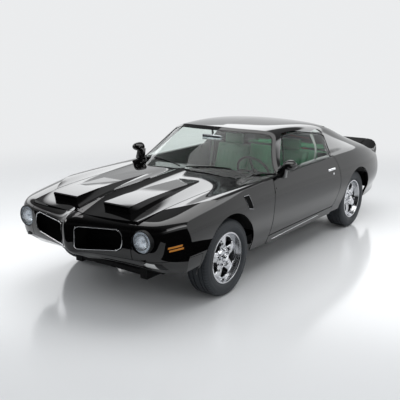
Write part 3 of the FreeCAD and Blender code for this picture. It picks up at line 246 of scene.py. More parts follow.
FLUTED = new_material("fluted_glass", (0.86, 0.90, 0.94), 0.02, ribs=(55, .6, .0015),
                      Transmission_Weight=0.92, IOR=1.32)
BOWL = new_material("lamp_bowl", (0.62, 0.65, 0.68), 0.16, 1.0)
PARKING = new_material("parking_glass", (0.72, 0.73, 0.72), 0.2, ribs=(75, .8, .002), Coat_Weight=0.6)
AMBER = new_material("amber_lens", (0.48, 0.185, 0.028), 0.18, mottle=(30, .12, .25), Coat_Weight=0.4)
RED = new_material("red_lens", (0.34, 0.008, 0.006), 0.15, mottle=(30, .1, .22), ribs=(40, .5, .002),
                   Coat_Weight=0.6)
VINYL = new_material("green_vinyl", (0.008, 0.140, 0.052), 0.42, mottle=(500, .36, .5), bump=0.00015)
STRAP = new_material("belt_webbing", (0.34, 0.36, 0.34), 0.75)
DIAL = new_material("dial_face", (0.006, 0.006, 0.007), 0.35)
# Near-black: soot, plus painted shade that stands for the dark inside of the exhaust pipes.
SOOT_AND_SHADE = new_material("pipe_soot_and_painted_shade", (0.004, 0.004, 0.004), 0.95, Specular_IOR_Level=0.1)
print("materials:", len(bpy.data.materials))

# %% [markdown]
# Black paint shows every ripple, so the panels need exact normals. The body surfaces are cubic B-spline
# nets over stations along the car, the same nets as in the part's source: the flank from the sill to the
# shoulder, the top of hood and deck, the roof with its sides, and the windscreen.

# %% Body surface nets
STATIONS = (-2.5, -2.3, -2.05, -1.75, -1.393, -1.0, -.55, -.05, .45, .95, 1.352, 1.75, 2.1, 2.35, 2.5)
FLANK = (
    ((.750, .780, .805, .822, .832, .836, .838, .838, .838, .840, .840, .832, .785, .725, .680),
     (.200,) * 15),
    ((.760, .790, .815, .832, .842, .846, .848, .848, .848, .850, .850, .840, .795, .735, .690),
     (.330, .320, .308, .300, .296, .295, .296, .298, .300, .304, .310, .320, .345, .375, .390)),
    ((.815, .845, .872, .890, .898, .892, .888, .886, .888, .894, .900, .890, .845, .785, .735),
     (.420, .410, .395, .385, .380, .378, .378, .380, .382, .386, .392, .402, .425, .450, .465)),
    ((.845, .872, .900, .920, .930, .918, .910, .908, .912, .922, .934, .922, .875, .810, .755),
     (.530, .525, .515, .510, .508, .505, .503, .503, .505, .510, .514, .520, .530, .540, .545)),
    ((.845, .872, .903, .925, .936, .922, .914, .912, .918, .932, .944, .928, .877, .810, .755),
     (.640, .640, .645, .648, .650, .650, .650, .652, .656, .662, .664, .655, .635, .615, .600)),
    ((.820, .850, .885, .910, .922, .912, .904, .900, .904, .916, .928, .910, .857, .790, .735),
     (.720, .735, .760, .780, .792, .800, .806, .812, .818, .826, .828, .805, .765, .720, .700)),
    ((.780, .815, .845, .866, .874, .868, .862, .858, .856, .858, .864, .842, .795, .735, .690),
     (.775, .795, .830, .860, .880, .896, .908, .918, .925, .936, .932, .895, .835, .785, .760)),
)
CROWN = (.745, .800, .850, .885, .912, .935, .950, .950, .950, .950, .950, .920, .860, .805, .780)
# share of the half width, drop below the crown, pull towards the crease
TOP_STEPS = ((.70, -.040, .75), (.56, -.030, .45), (.38, -.014, .15), (.20, -.004, .0), (.07, -.010, .0))
PEAK_RISE, CREASE_LIFT, CREASE_HALF = .012, .010, .866
TOP_SHOULDER = (.024,) * 15
CABIN_SHOULDER = (.024, .024, .024, .024, .024, .024, .022, .025, .026, .036, .042, .036, .030, .026, .024)
CABIN = (
    ((.70, .74, .78, .80, .81, .81, .805, .80, .797, .795, .785, .765, .710, .655, .615),
     (.82, .84, .87, .90, .93, .95, .970, .985, .990, .998, .998, .952, .885, .830, .803)),
    ((.64, .66, .68, .70, .72, .73, .735, .735, .730, .722, .700, .665, .620, .590, .570),
     (.84, .86, .90, .94, .98, 1.02, 1.060, 1.085, 1.090, 1.085, 1.055, .985, .900, .842, .815)),
    ((.58, .60, .62, .64, .65, .66, .668, .670, .665, .655, .625, .570, .520, .490, .470),
     (.85, .88, .93, .98, 1.03, 1.09, 1.150, 1.185, 1.190, 1.172, 1.115, 1.010, .908, .848, .820)),
    ((.54, .56, .58, .60, .61, .62, .628, .632, .628, .615, .570, .500, .440, .410, .390),
     (.86, .90, .95, 1.01, 1.07, 1.14, 1.210, 1.255, 1.260, 1.232, 1.150, 1.015, .910, .850, .822)),
    ((.46, .48, .50, .52, .53, .54, .552, .556, .552, .535, .480, .400, .330, .300, .290),
     (.87, .91, .96, 1.02, 1.08, 1.16, 1.240, 1.298, 1.305, 1.268, 1.165, 1.010, .910, .850, .823)),
    ((.30, .32, .34, .35, .36, .36, .360, .360, .360, .340, .300, .250, .220, .200, .190),
     (.88, .92, .97, 1.03, 1.09, 1.17, 1.250, 1.314, 1.328, 1.290, 1.165, .995, .908, .850, .824)),
    ((.12,) * 15,
     (.88, .92, .97, 1.03, 1.10, 1.18, 1.255, 1.320, 1.335, 1.297, 1.163, .985, .905, .850, .824)),
    ((.0,) * 15,
     (.88, .92, .97, 1.03, 1.10, 1.18, 1.256, 1.321, 1.336, 1.298, 1.163, .985, .905, .850, .824)),
)
FRONT_PLAN = [(.0, -2.438), (.035, -2.428), (.075, -2.396), (.150, -2.368), (.300, -2.338), (.480, -2.306),
              (.620, -2.276), (.710, -2.250), (.775, -2.220), (.830, -2.150), (.875, -2.040), (.960, -1.800)]
FRONT_LEAN = [(.20, .420, .200), (.34, .330, .120), (.405, .200, .050), (.455, .085, .012), (.50, .022, .0),
              (.56, .0, .0), (.66, .0, .0), (.705, .003, .003), (.738, .012, .012), (.765, .034, .034),
              (.786, .068, .068), (.800, .120, .120), (.830, .260, .260), (.950, .900, .900)]
SCREEN_ROWS = (
    ((.0, -1.00, .82), (.26, -.985, .82), (.52, -.91, .82), (.74, -.79, .82), (.95, -.55, .82)),
    ((.0, -.870, .90), (.25, -.855, .90), (.50, -.785, .90), (.71, -.665, .90), (.91, -.42, .90)),
    ((.0, -.62, 1.06), (.24, -.61, 1.06), (.48, -.55, 1.06), (.68, -.44, 1.06), (.86, -.22, 1.06)),
    ((.0, -.36, 1.225), (.22, -.352, 1.225), (.44, -.31, 1.225), (.62, -.215, 1.225), (.80, -.02, 1.225)),
    ((.0, -.05, 1.42), (.20, -.043, 1.42), (.40, -.005, 1.42), (.56, .07, 1.42), (.74, .24, 1.42)),
)


def section_rows(pairs):
    return [list(zip(across, up)) for across, up in pairs]


def shoulder_row(reaches):
    """The poles just above the crease carry on the flank's own slope, so the shoulder is smooth."""
    below, crease = section_rows(FLANK)[-2:]
    row = []
    for k, reach in enumerate(reaches):
        dx, dz = crease[k][0] - below[k][0], crease[k][1] - below[k][1]
        share = reach / math.hypot(dx, dz)
        row.append((crease[k][0] + share * dx, crease[k][1] + share * dz))
    return row


def top_rows():
    crease_x, crease_z = FLANK[-1]
    rows = []
    for share, drop, pull in TOP_STEPS:
        rows.append([(share * crease_x[k] / CREASE_HALF,
                      (crease_z[k] + CREASE_LIFT) * pull + (crown + drop) * (1 - pull))
                     for k, crown in enumerate(CROWN)])
    rows.append([(0.0, crown + PEAK_RISE) for crown in CROWN])
    return rows


def net_of(rows):
    """Poles as an array: station along the car, row round the section, then x, y, z."""
    return np.array([[(row[k][0], STATIONS[k], row[k][1]) for row in rows] for k in range(len(STATIONS))])


def front_net():
    plan = [(-x, y) for x, y in reversed(FRONT_PLAN)][:-1] + FRONT_PLAN
    wide = FRONT_PLAN[-1][0]
    return np.array([[(x, y + centre + (edge - centre) * (x / wide) ** 2, z) for x, y in plan]
                     for z, centre, edge in FRONT_LEAN])


def screen_net(slide):
    rows = [[(-x, y, z) for x, y, z in reversed(row[1:])] + list(row) for row in SCREEN_ROWS]
    return np.array([[(x, y + slide, z) for x, y, z in row] for row in rows])


def spline_shares(count, at):
    """Share of each pole of a clamped cubic spline at places from 0 to 1, one line of shares a place."""
    knots = np.concatenate([np.zeros(3), np.linspace(0, 1, count - 2), np.ones(3)])
    at = np.clip(np.asarray(at, float), 0, 1 - 1e-12)
    shares = ((at[:, None] >= knots[None, :-1]) & (at[:, None] < knots[None, 1:])).astype(float)
    for degree in (1, 2, 3):
        parts = []
        for i in range(len(knots) - 1 - degree):
            rise, fall = knots[i + degree] - knots[i], knots[i + degree + 1] - knots[i + 1]
            part = np.zeros(len(at))
            if rise > 0:
                part = part + (at - knots[i]) / rise * shares[:, i]
            if fall > 0:
                part = part + (knots[i + degree + 1] - at) / fall * shares[:, i + 1]
            parts.append(part)
        shares = np.stack(parts, 1)
    return shares


def net_frame(net, places):
    """Points, slope along and slope across of a net at the given places."""
    (count, wide), step = net.shape[:2], 1e-4

    def shares_and_slopes(size, at):
        low, high = np.clip(at - step, 0, 1), np.clip(at + step, 0, 1)
        slopes = (spline_shares(size, high) - spline_shares(size, low)) / (high - low)[:, None]
        return spline_shares(size, at), slopes

    along, along_slope = shares_and_slopes(count, places[:, 0])
    across, across_slope = shares_and_slopes(wide, places[:, 1])
    flat = net.reshape(count, wide * 3)
    rows = (along @ flat).reshape(-1, wide, 3)
    rows_slope = (along_slope @ flat).reshape(-1, wide, 3)
    point = (rows * across[:, :, None]).sum(1)
    return point, (rows_slope * across[:, :, None]).sum(1), (rows * across_slope[:, :, None]).sum(1)


NETS = {"flank": net_of(section_rows(FLANK)),
        "top": net_of(section_rows(FLANK)[-1:] + [shoulder_row(TOP_SHOULDER)] + top_rows()),
        "cabin": net_of(section_rows(FLANK)[-1:] + [shoulder_row(CABIN_SHOULDER)] + section_rows(CABIN)),
        "front": front_net(), "screen": screen_net(0.002), "screen_inside": screen_net(0.009)}
ONE_SIDED = ("flank", "top", "cabin")
NET_TREES = {}
for net_name, net in NETS.items():
    steps_u, steps_v = np.linspace(0, 1, 181), np.linspace(0, 1, 61)
    spots = np.array([(u, v) for u in steps_u for v in steps_v])
    tree = kdtree.KDTree(len(spots))
    for index, point in enumerate(net_frame(net, spots)[0]):
        tree.insert(point, index)
    tree.balance()
    NET_TREES[net_name] = (tree, spots)


def on_net(name, points):
    """Nearest places on a net: the point, the surface normal there and the distance, for each given point."""
    points = np.asarray(points, float)
    side = np.where(points[:, 0] < 0, -1.0, 1.0)[:, None] if name in ONE_SIDED else np.ones((len(points), 1))
    turned = points * np.hstack([side, np.ones((len(points), 2))])
    tree, spots = NET_TREES[name]
    net = NETS[name]
    places = np.array([spots[tree.find(point)[1]] for point in turned])
    for _ in range(4):
        point, along, across = net_frame(net, places)
        miss = turned - point
        aa, bb, ab = (along * along).sum(1), (across * across).sum(1), (along * across).sum(1)
        ma, mb = (along * miss).sum(1), (across * miss).sum(1)
        whole = np.maximum(aa * bb - ab * ab, 1e-12)
        steps = np.stack([(ma * bb - mb * ab) / whole, (mb * aa - ma * ab) / whole], 1)
        places = np.clip(places + steps, 0, 1)
    found, along, across = net_frame(net, places)
    normals = np.cross(along, across)
    normals /= np.maximum(np.linalg.norm(normals, axis=1), 1e-12)[:, None]
    gap = np.linalg.norm(turned - found, axis=1)
    back = np.hstack([side, np.ones((len(points), 2))])
    return found * back, normals * back, gap


print("nets:", {name: net.shape for name, net in NETS.items()})

# %% [markdown]
# Each painted panel is a copy of its CAD piece with long edges cut short. A face that lies on one of the
# nets takes that net's exact normals, and the rest are rounded only across shallow angles, so that shut
# lines stay crisp and the reflections run on from panel to panel.

# %% Panel builder
LONGEST_EDGE, NET_NEAR = 0.055, 0.0022
NET_ALIKE, ROUND_OVER = 0.94, 0.82  # cosines between two normals


def cad_copy(node):
    """The CAD piece as an editable mesh with its doubled points joined."""
    mesh = bmesh.new()
    mesh.from_mesh(NODES[node].data)
    mesh.transform(NODES[node].matrix_world)
    bmesh.ops.remove_doubles(mesh, verts=mesh.verts, dist=2e-5)
    bmesh.ops.dissolve_degenerate(mesh, dist=1e-6, edges=mesh.edges)
    return mesh


def sort_faces(mesh, nets, near):
    """Marks each face with the number of the net it lies on, or 0."""
    layer = mesh.faces.layers.int.new("net")
    faces = list(mesh.faces)
    middles = np.array([face.calc_center_median() for face in faces])
    facing = np.array([face.normal for face in faces])
    best, kind = np.full(len(faces), near), np.zeros(len(faces), int)
    for number, name in enumerate(nets, start=1):
        _, normals, gap = on_net(name, middles)
        fits = (gap < best) & (np.abs((normals * facing).sum(1)) > NET_ALIKE)
        best[fits], kind[fits] = gap[fits], number
    for face, number in zip(faces, kind):
        face[layer] = int(number)
    return layer


def cut_long_edges(mesh, layer):
    for _ in range(5):
        long_edges = [edge for edge in mesh.edges if edge.calc_length() > LONGEST_EDGE
                      and any(face[layer] for face in edge.link_faces)]
        if not long_edges:
            break
        bmesh.ops.subdivide_edges(mesh, edges=long_edges, cuts=1, use_grid_fill=False)
        bmesh.ops.triangulate(mesh, faces=[face for face in mesh.faces if len(face.verts) > 3])


def settle_points(mesh, layer, nets, near):
    """Moves each point that is near the net of its faces onto that net."""
    for number, name in enumerate(nets, start=1):
        chosen = [v for v in mesh.verts if any(face[layer] == number for face in v.link_faces)]
        if chosen:
            found, _, gap = on_net(name, [v.co for v in chosen])
            for v, place, miss in zip(chosen, found, gap):
                if miss < near:
                    v.co = place


def corner_normals(mesh, layer, nets):
    """The normal of each corner, by the numbers of its face and its point."""
    normal_at = {}
    for number, name in enumerate(nets, start=1):
        corners = [corner for face in mesh.faces if face[layer] == number for corner in face.loops]
        if corners:
            facing = np.array([corner.face.normal for corner in corners])
            sides = np.sign([corner.face.calc_center_median().x for corner in corners])
            spots = np.array([corner.vert.co for corner in corners])
            spots[:, 0] = np.where(np.sign(spots[:, 0]) == sides, spots[:, 0], sides * 1e-7)
            _, normals, _ = on_net(name, spots)
            normals *= np.where((normals * facing).sum(1) < 0, -1.0, 1.0)[:, None]
            for corner, normal in zip(corners, normals):
                normal_at[corner.face.index, corner.vert.index] = normal
    for face in mesh.faces:
        for corner in () if face[layer] else face.loops:
            total = Vector((0, 0, 0))
            for beside in corner.vert.link_faces:
                if beside.normal.dot(face.normal) > ROUND_OVER and not beside[layer]:
                    total += beside.normal * beside.calc_area()
            normal_at[face.index, corner.vert.index] = total.normalized()
    return normal_at


def panel(node, nets, material, near=NET_NEAR, settle=True):
    """A dressed copy of one CAD panel, with exact normals where it lies on the body nets."""
    mesh = cad_copy(node)
    layer = sort_faces(mesh, nets, near)
    cut_long_edges(mesh, layer)
    if settle:
        settle_points(mesh, layer, nets, near)
    mesh.normal_update()
    mesh.verts.index_update()
    mesh.faces.index_update()
    normal_at = corner_normals(mesh, layer, nets)
    made = bpy.data.meshes.new(node + "_panel")
    mesh.to_mesh(made)
    mesh.free()
    made.normals_split_custom_set([Vector(normal_at[poly.index, made.loops[k].vertex_index])
                                   for poly in made.polygons for k in poly.loop_indices])
    made.materials.clear()
    return add_piece(node + "_panel", made, [material], node, [node])


LOW_NETS, HIGH_NETS, GLASS_NETS = ("flank", "top", "front"), ("flank", "cabin"), ("cabin", "flank")
PAINTED = ((LOW_NETS, "fender_left fender_right nose front_valance hood door_left door_right"),
           (HIGH_NETS, "quarter_left quarter_right tulip_panel deck_lid tail_panel roof"),
           (LOW_NETS, "floor_pan"))
PANELS = {node: panel(node, nets, PAINT) for nets, nodes in PAINTED for node in nodes.split()}
for node in ("door_glass_left", "door_glass_right", "rear_window"):
    PANELS[node] = panel(node, GLASS_NETS, GLASS, near=0.0075, settle=False)
PANELS["windscreen"] = panel("windscreen", ("screen", "screen_inside"), SCREEN_GLASS, near=0.003,
                             settle=False)
print("panels:", {name: len(obj.data.polygons) for name, obj in PANELS.items()})

# %% [markdown]
# Turned pieces, such as tyres and rims, start from a list of points in half section. The helper spins the
# list round an axle, and another one lays round bars along a smooth path for gaskets, rings and trim.

# %% Shape helpers
def finish_mesh(name, mesh, materials, node, angle=40.0, replaced=(), turn_out=True):
    """Turns a bmesh into a smooth piece with edges sharp above an angle, on the body of a CAD piece."""
    if turn_out:
        bmesh.ops.recalc_face_normals(mesh, faces=mesh.faces)
    mesh.normal_update()
    made = bpy.data.meshes.new(name)
    mesh.to_mesh(made)
    mesh.free()
    made.shade_smooth()
    made.set_sharp_from_angle(angle=math.radians(angle))
    return add_piece(name, made, materials, node, replaced)


def smooth_copy(node, material):
    """The CAD piece with its doubled points joined and smooth shading across shallow edges."""
    return finish_mesh(node + "_smooth", cad_copy(node), [material], node, 32.0, [node], turn_out=False)


def grid_faces(mesh, rows, closed_round=False, closed_along=False, index=0):
    """Joins equal rows of vertices with quads."""
    count = len(rows[0])
    for i in range(len(rows) if closed_along else len(rows) - 1):
        one, two = rows[i], rows[(i + 1) % len(rows)]
        for k in range(count if closed_round else count - 1):
            n = (k + 1) % count
            mesh.faces.new((one[k], one[n], two[n], two[k])).material_index = index


def on_ring(along, radius, turn):
    return Vector((along, radius * math.cos(turn), radius * math.sin(turn)))


def spun(mesh, profile, segments, place, closed=False, index=0):
    """Spins (along, radius) points round the X axis."""
    rows = [[mesh.verts.new(place @ on_ring(x, r, 2 * math.pi * k / segments)) for x, r in profile]
            for k in range(segments)]
    grid_faces(mesh, rows, closed_round=closed, closed_along=True, index=index)


def rounded(points, radius, steps):
    """Rounds the corners of a closed flat outline of (a, b) points."""
    out = []
    for k, point in enumerate(points):
        before, here, after = Vector(points[k - 1]), Vector(point), Vector(points[(k + 1) % len(points)])
        reach = min(radius, (before - here).length * 0.45, (after - here).length * 0.45)
        start, end = here + (before - here).normalized() * reach, here + (after - here).normalized() * reach
        for step in range(steps + 1):
            t = step / steps
            out.append(tuple(start * (1 - t) ** 2 + here * 2 * t * (1 - t) + end * t ** 2))
    return out


def smooth_path(points, count, closed=False):
    """Even points on a Catmull-Rom curve through the given ones."""
    given = [Vector(p) for p in points]
    total = len(given)
    dense = []
    for k in range(total if closed else total - 1):
        a, b, c, d = (given[n % total if closed else min(max(n, 0), total - 1)] for n in range(k - 1, k + 3))
        for step in range(12):
            t = step / 12
            dense.append(0.5 * (2 * b + (c - a) * t + (2 * a - 5 * b + 4 * c - d) * t * t
                                + (3 * b - a - 3 * c + d) * t ** 3))
    dense.append(given[0] if closed else given[-1])
    lengths = [0.0]
    for one, two in zip(dense, dense[1:]):
        lengths.append(lengths[-1] + (two - one).length)
    spots = []
    for k in range(count):
        want = lengths[-1] * k / (count if closed else count - 1)
        place = min(max(int(np.searchsorted(lengths, want)), 1), len(dense) - 1)
        part = (want - lengths[place - 1]) / max(lengths[place] - lengths[place - 1], 1e-9)
        spots.append(dense[place - 1].lerp(dense[place], part))
    return spots


def bar_along(mesh, path, radius, sides=6, closed=False, flat=1.0, up=Vector((0, 0, 1))):
    """A round or oval bar along a path; flat squeezes it along the second axis."""
    rows = []
    count = len(path)
    for k, spot in enumerate(path):
        before = path[k - 1] if closed or k else path[0]
        after = path[(k + 1) % count] if closed or k < count - 1 else path[-1]
        ahead = (after - before).normalized()
        side = ahead.cross(up)
        side = side.normalized() if side.length > 1e-4 else ahead.orthogonal().normalized()
        over = side.cross(ahead)
        turns = [2 * math.pi * n / sides for n in range(sides)]
        rows.append([mesh.verts.new(spot + side * radius * math.cos(turn)
                                    + over * radius * flat * math.sin(turn)) for turn in turns])
    grid_faces(mesh, rows, closed_round=True, closed_along=closed)
    if not closed:
        mesh.faces.new(rows[0][::-1])
        mesh.faces.new(rows[-1])


def bevel_edges(mesh, edges, width, profile):
    bmesh.ops.bevel(mesh, geom=list(dict.fromkeys(edges)), offset=width, segments=3, profile=profile,
                    affect="EDGES")


def soft_box(mesh, low, high, bevel):
    """A box with rounded edges between two corners."""
    low, high = Vector(low), Vector(high)
    made = bmesh.ops.create_cube(mesh, size=1.0)["verts"]
    for v in made:
        v.co = v.co * (high - low) + (high + low) / 2
    bevel_edges(mesh, [edge for v in made for edge in v.link_edges], bevel, 0.7)


print("shape helpers ready")

# %% [markdown]
# The wheels are polished aluminium, with a deep lip, five spokes, dark windows, lug nuts and a plain cap.
# Every window is one fifth of the face: rings of points run from the window's rounded edge to the edge of
# its share of the disc, so the spoke between two windows is what is left over.

# %% Wheel shapes
SPOKES = 5
HUB_EDGE, FACE_EDGE = 0.050, 0.1975
WINDOW_LOW, WINDOW_HIGH = 0.096, 0.182
WINDOW_MIDDLE, WINDOW_HALF = (WINDOW_LOW + WINDOW_HIGH) / 2, (WINDOW_HIGH - WINDOW_LOW) / 2
SPOKE_CROWN, WHEEL_HIGH = 0.0045, 0.338
FRONT_WHEEL, REAR_WHEEL = (0.778, -1.393), (0.762, 1.352)  # across, along
WHEEL_TURNS = {"fl": 0.42, "fr": 0.2, "rl": 0.75, "rr": 0.5}
LIP_PROFILE = [(-.090, .216), (-.096, .226), (-.098, .228), (-.098, .212), (-.060, .205), (-.045, .192),
               (.030, .1935), (.048, .1955), (.056, .1985), (.068, .2035), (.084, .2095), (.092, .2115),
               (.0965, .2135), (.098, .217), (.098, .2235), (.0965, .2265), (.092, .228), (.088, .227),
               (.086, .218), (.040, .215), (-.040, .214), (-.086, .215)]
CAP_PROFILE = [(.050, .0355), (.074, .0352), (.078, .0345), (.080, .0325), (.083, .0300), (.0875, .0285),
               (.0885, .0265), (.0892, .018), (.0896, .009), (.0898, .0004)]
HUB_PROFILE = [(.064, HUB_EDGE + .0006), (.0645, .044), (.058, .040), (.056, .034)]
DRUM_PROFILE = [(-.050, .158), (-.006, .158), (-.002, .154), (.002, .120), (.002, .070), (.014, .060),
                (.014, .021)]
DRUM_BACK = [(-.050, .158), (-.052, .021), (.014, .021)]
STEM_PROFILE = [(.0, .0042), (.018, .0040), (.020, .0052), (.030, .0050), (.031, .0005)]
NUT_SEAT = [(.0, .0115), (.004, .0105)]
NUT_RINGS = [(.003, .0098), (.017, .0098), (.020, .0085), (.022, .005), (.0225, .0006)]
NUT_CIRCLE = .0665


def face_height(radius, turn):
    """How far the wheel's face stands out: a raised hub, and spokes that are crowned across."""
    slope = np.interp(radius, [0.030, 0.055, 0.068, 0.078, 0.095, 0.130, 0.170, 0.1975],
                      [0.064, 0.064, 0.060, 0.052, 0.056, 0.060, 0.057, 0.053])
    off_spoke = abs(turn) / math.radians(36)
    crown = SPOKE_CROWN * math.cos(math.pi * (1 - off_spoke) * 0.5) if radius > 0.075 else SPOKE_CROWN
    fade = min(max((radius - 0.075) / 0.02, 0), 1) * min(max((0.195 - radius) / 0.02, 0), 1)
    return slope + (crown - SPOKE_CROWN) * fade + 0.006 * off_spoke ** 2 * fade


def window_edge(t):
    """Window outline as (radius, turn): t goes once round from 0 to 1."""
    corner = 2 * math.pi * t
    a = math.copysign(abs(math.cos(corner)) ** 0.55, math.cos(corner))
    b = math.copysign(abs(math.sin(corner)) ** 0.62, math.sin(corner))
    radius = WINDOW_MIDDLE + b * WINDOW_HALF
    half = np.interp(radius, [WINDOW_LOW, 0.14, WINDOW_HIGH], np.radians([9, 19.5, 22]))
    return radius, a * half


def share_edge(t):
    """The outline of one fifth of the face, met in the same direction as the window's edge."""
    radius, turn = window_edge(t)
    a, b = turn / math.radians(19), (radius - WINDOW_MIDDLE) / WINDOW_HALF
    grow = 1.0 / max(abs(a), abs(b), 1e-6)
    a, b = a * grow, b * grow
    radius = np.interp(b, [-1, 1], [HUB_EDGE, FACE_EDGE])
    return radius, max(min(a, 1.0), -1.0) * math.radians(36)


def spoke_face(mesh, place):
    steps, rings = 72, 8
    for spoke in range(SPOKES):
        middle = 2 * math.pi * (spoke + 0.5) / SPOKES
        rows = []
        for ring in range(-2, rings + 1):
            part = max(ring, 0) / rings
            row = []
            for k in range(steps):
                t = k / steps
                near, far = window_edge(t), share_edge(t)
                radius = near[0] + (far[0] - near[0]) * part
                turn = near[1] + (far[1] - near[1]) * part
                out = face_height(radius, turn)
                if ring < 0:
                    out = (0.004, out - 0.010)[ring + 2]
                elif ring == 0:
                    out -= 0.0035
                row.append(mesh.verts.new(place @ on_ring(out, radius, middle + turn)))
            rows.append(row)
        grid_faces(mesh, rows, closed_round=True)


def nut(mesh, place, index):
    """A cone-seated hexagon nut with a domed end."""
    spun(mesh, NUT_SEAT, 16, place, index=index)
    rows = [[mesh.verts.new(place @ on_ring(along, radius, math.pi * k / 3)) for k in range(6)]
            for along, radius in NUT_RINGS]
    grid_faces(mesh, rows, closed_round=True, index=index)
    mesh.faces.new(rows[-1]).material_index = index


def wheel_place(corner):
    """The middle of a wheel. The right wheels are mirrored, and each is turned a little differently."""
    side = 1.0 if corner.endswith("l") else -1.0
    half, along = FRONT_WHEEL if corner.startswith("f") else REAR_WHEEL
    flip, turn = Matrix.Diagonal((side, 1, 1, 1)), Matrix.Rotation(WHEEL_TURNS[corner], 4, "X")
    return Matrix.Translation((side * half, along, WHEEL_HIGH)) @ flip @ turn


def add_rim(corner):
    place = wheel_place(corner)
    mesh = bmesh.new()
    spun(mesh, LIP_PROFILE, 128, place, closed=True)
    spoke_face(mesh, place)
    bmesh.ops.remove_doubles(mesh, verts=mesh.verts, dist=0.0004)
    spun(mesh, HUB_PROFILE, 60, place)
    spun(mesh, CAP_PROFILE, 48, place, index=1)
    for k in range(SPOKES):
        nut(mesh, place @ Matrix.Translation(on_ring(0.0605, NUT_CIRCLE, 2 * math.pi * k / SPOKES)), index=1)
    spun(mesh, DRUM_PROFILE, 64, place, index=2)
    spun(mesh, DRUM_BACK, 64, place, index=2)
    stem = place @ Matrix.Translation((0.056, 0.0, 0.188)) @ Matrix.Rotation(0.25, 4, "Y")
    spun(mesh, STEM_PROFILE, 10, stem, index=3)
    node = "rim_" + corner
    finish_mesh("wheel_" + corner, mesh, [ALLOY, CHROME, CAST, TRIM], node, 28.0, [node])


# %% [markdown]
# The tyre's half section has a bulged side wall with a raised band, a rounded shoulder and a tread with
# four grooves. Every fourth point round the shoulder is pushed in to cut the tread blocks.

# %% Tyres
BLOCKS, SHOULDER_CUT, SIPE_CUT, CUT_LEAN = 74, 0.0055, 0.003, 0.010


def tyre_section():
    """(along, radius, kind): kind 1 is a groove round the tread, 2 a shoulder cut, 3 a rib with sipes."""
    half = [(.0895, .2162, 0), (.0900, .2285, 0), (.0950, .2330, 0), (.1025, .2400, 0), (.1065, .2500, 0),
            (.1090, .2600, 0), (.1103, .2700, 0), (.1105, .2790, 0), (.1103, .2795, 0), (.1098, .2850, 0),
            (.1092, .2910, 0), (.1096, .2916, 0), (.1082, .3000, 0), (.1062, .3080, 0), (.1040, .3140, 2),
            (.1012, .3200, 2), (.0975, .3255, 2), (.0930, .3300, 2), (.0875, .3337, 2), (.0810, .3358, 2),
            (.0740, .3368, 2), (.0705, .3371, 0), (.0700, .3300, 1), (.0630, .3300, 1), (.0625, .3373, 0),
            (.0540, .3376, 3), (.0440, .3377, 3), (.0345, .3378, 0), (.0340, .3305, 1), (.0260, .3305, 1),
            (.0255, .3379, 0), (.0170, .3380, 3), (.0080, .3380, 3), (.0, .3380, 0)]
    return half + [(-x, r, g) for x, r, g in half[-2::-1]]


def add_tyre(corner):
    place = wheel_place(corner)
    mesh = bmesh.new()
    rows = []
    for k in range(BLOCKS * 4):
        phase = k % 4
        row = []
        for x, r, kind in tyre_section():
            lean = CUT_LEAN * x / 0.1 if kind in (2, 3) else 0.0
            deep = 0.0
            if kind == 2 and phase == 0:
                deep = SHOULDER_CUT
            elif kind == 3 and phase in (0, 2) and (k // 4) % 2 == (0 if phase == 0 else 1):
                deep = SIPE_CUT
            row.append(mesh.verts.new(place @ on_ring(x, r - deep, 2 * math.pi * k / (BLOCKS * 4) + lean)))
        rows.append(row)
    grid_faces(mesh, rows, closed_round=True, closed_along=True)
    node = "tyre_" + corner
    finish_mesh("tyre_dressed_" + corner, mesh, [TYRE], node, 42.0, [node])


for corner in ("fl", "fr", "rl", "rr"):
    add_rim(corner)
    add_tyre(corner)
print("wheels done")

# %% [markdown]
# Trim, vents and lamps sit on the body nets. A patch lays a thin plate over a net between four corners, and
# on_front finds the point of the front face that is seen at a given place across and up.

# %% Helpers for what sits on the body
FLANK_OUT = 0.90
BODY_MIDDLE = np.array((0, 0, 0.55))


def on_front(places):
    """Points of the front net at (x, z) places."""
    spots = [Vector((x, -2.40 + 0.25 * x * x, z)) for x, z in places]
    for _ in range(8):
        found, _, _ = on_net("front", spots)
        spots = [Vector((spot.x, place[1], spot.z)) for spot, place in zip(spots, found)]
    return spots


def patch(mesh, corners, net, lift, sink=0.002, across=12, along=4, index=0, round_off=0.0):
    """A thin plate on a net between four corners, lifted off it by lift, with its rim sunk into it."""
    a, b, c, d = (Vector(corner) for corner in corners)
    wide = across + 1
    steps = [(i, k) for k in range(along + 1) for i in range(wide)]
    spots = [a.lerp(b, i / across).lerp(d.lerp(c, i / across), k / along) for i, k in steps]
    found, normals, _ = on_net(net, spots)
    if ((found - BODY_MIDDLE) * normals).sum() < 0:
        normals = -normals
    top = []
    for (i, k), spot, normal in zip(steps, found, normals):
        edge = i in (0, across) or k in (0, along)
        top.append(mesh.verts.new(Vector(spot) + Vector(normal) * (lift - round_off * edge)))
    grid_faces(mesh, [top[k * wide:(k + 1) * wide] for k in range(along + 1)], index=index)
    rim = ([k for k in range(wide)] + [(k + 1) * wide - 1 for k in range(1, along + 1)]
           + [along * wide + k for k in range(across - 1, -1, -1)]
           + [k * wide for k in range(along - 1, 0, -1)])
    low = [mesh.verts.new(Vector(found[n]) - Vector(normals[n]) * sink) for n in rim]
    for k, place in enumerate(rim):
        n = (k + 1) % len(rim)
        mesh.faces.new((top[place], low[k], low[n], top[rim[n]])).material_index = index


def on_flank(side, corners):
    """Corners of a patch on one side of the car, from (y, z) places."""
    return [(FLANK_OUT * side, y, z) for y, z in corners]


print("body helpers ready")

# %% [markdown]
# Each grille mouth has a thin bright ring, and a honeycomb behind it. The honeycomb repeats one six-sided
# cell, so Geometry Nodes set it on every point of a staggered grid inside the mouth.

# %% Grilles
GRILLE_CORNERS = [(.085, .522), (.440, .560), (.484, .588), (.496, .630), (.496, .672), (.484, .710),
                  (.440, .728), (.105, .712), (.079, .704), (.072, .685), (.066, .545), (.071, .527)]
CELL, CELL_WIRE, CELL_PLACE = 0.0095, 0.0011, -2.266
CELL_START, CELL_REACH = (0.062, 0.515), (0.46, 0.24)


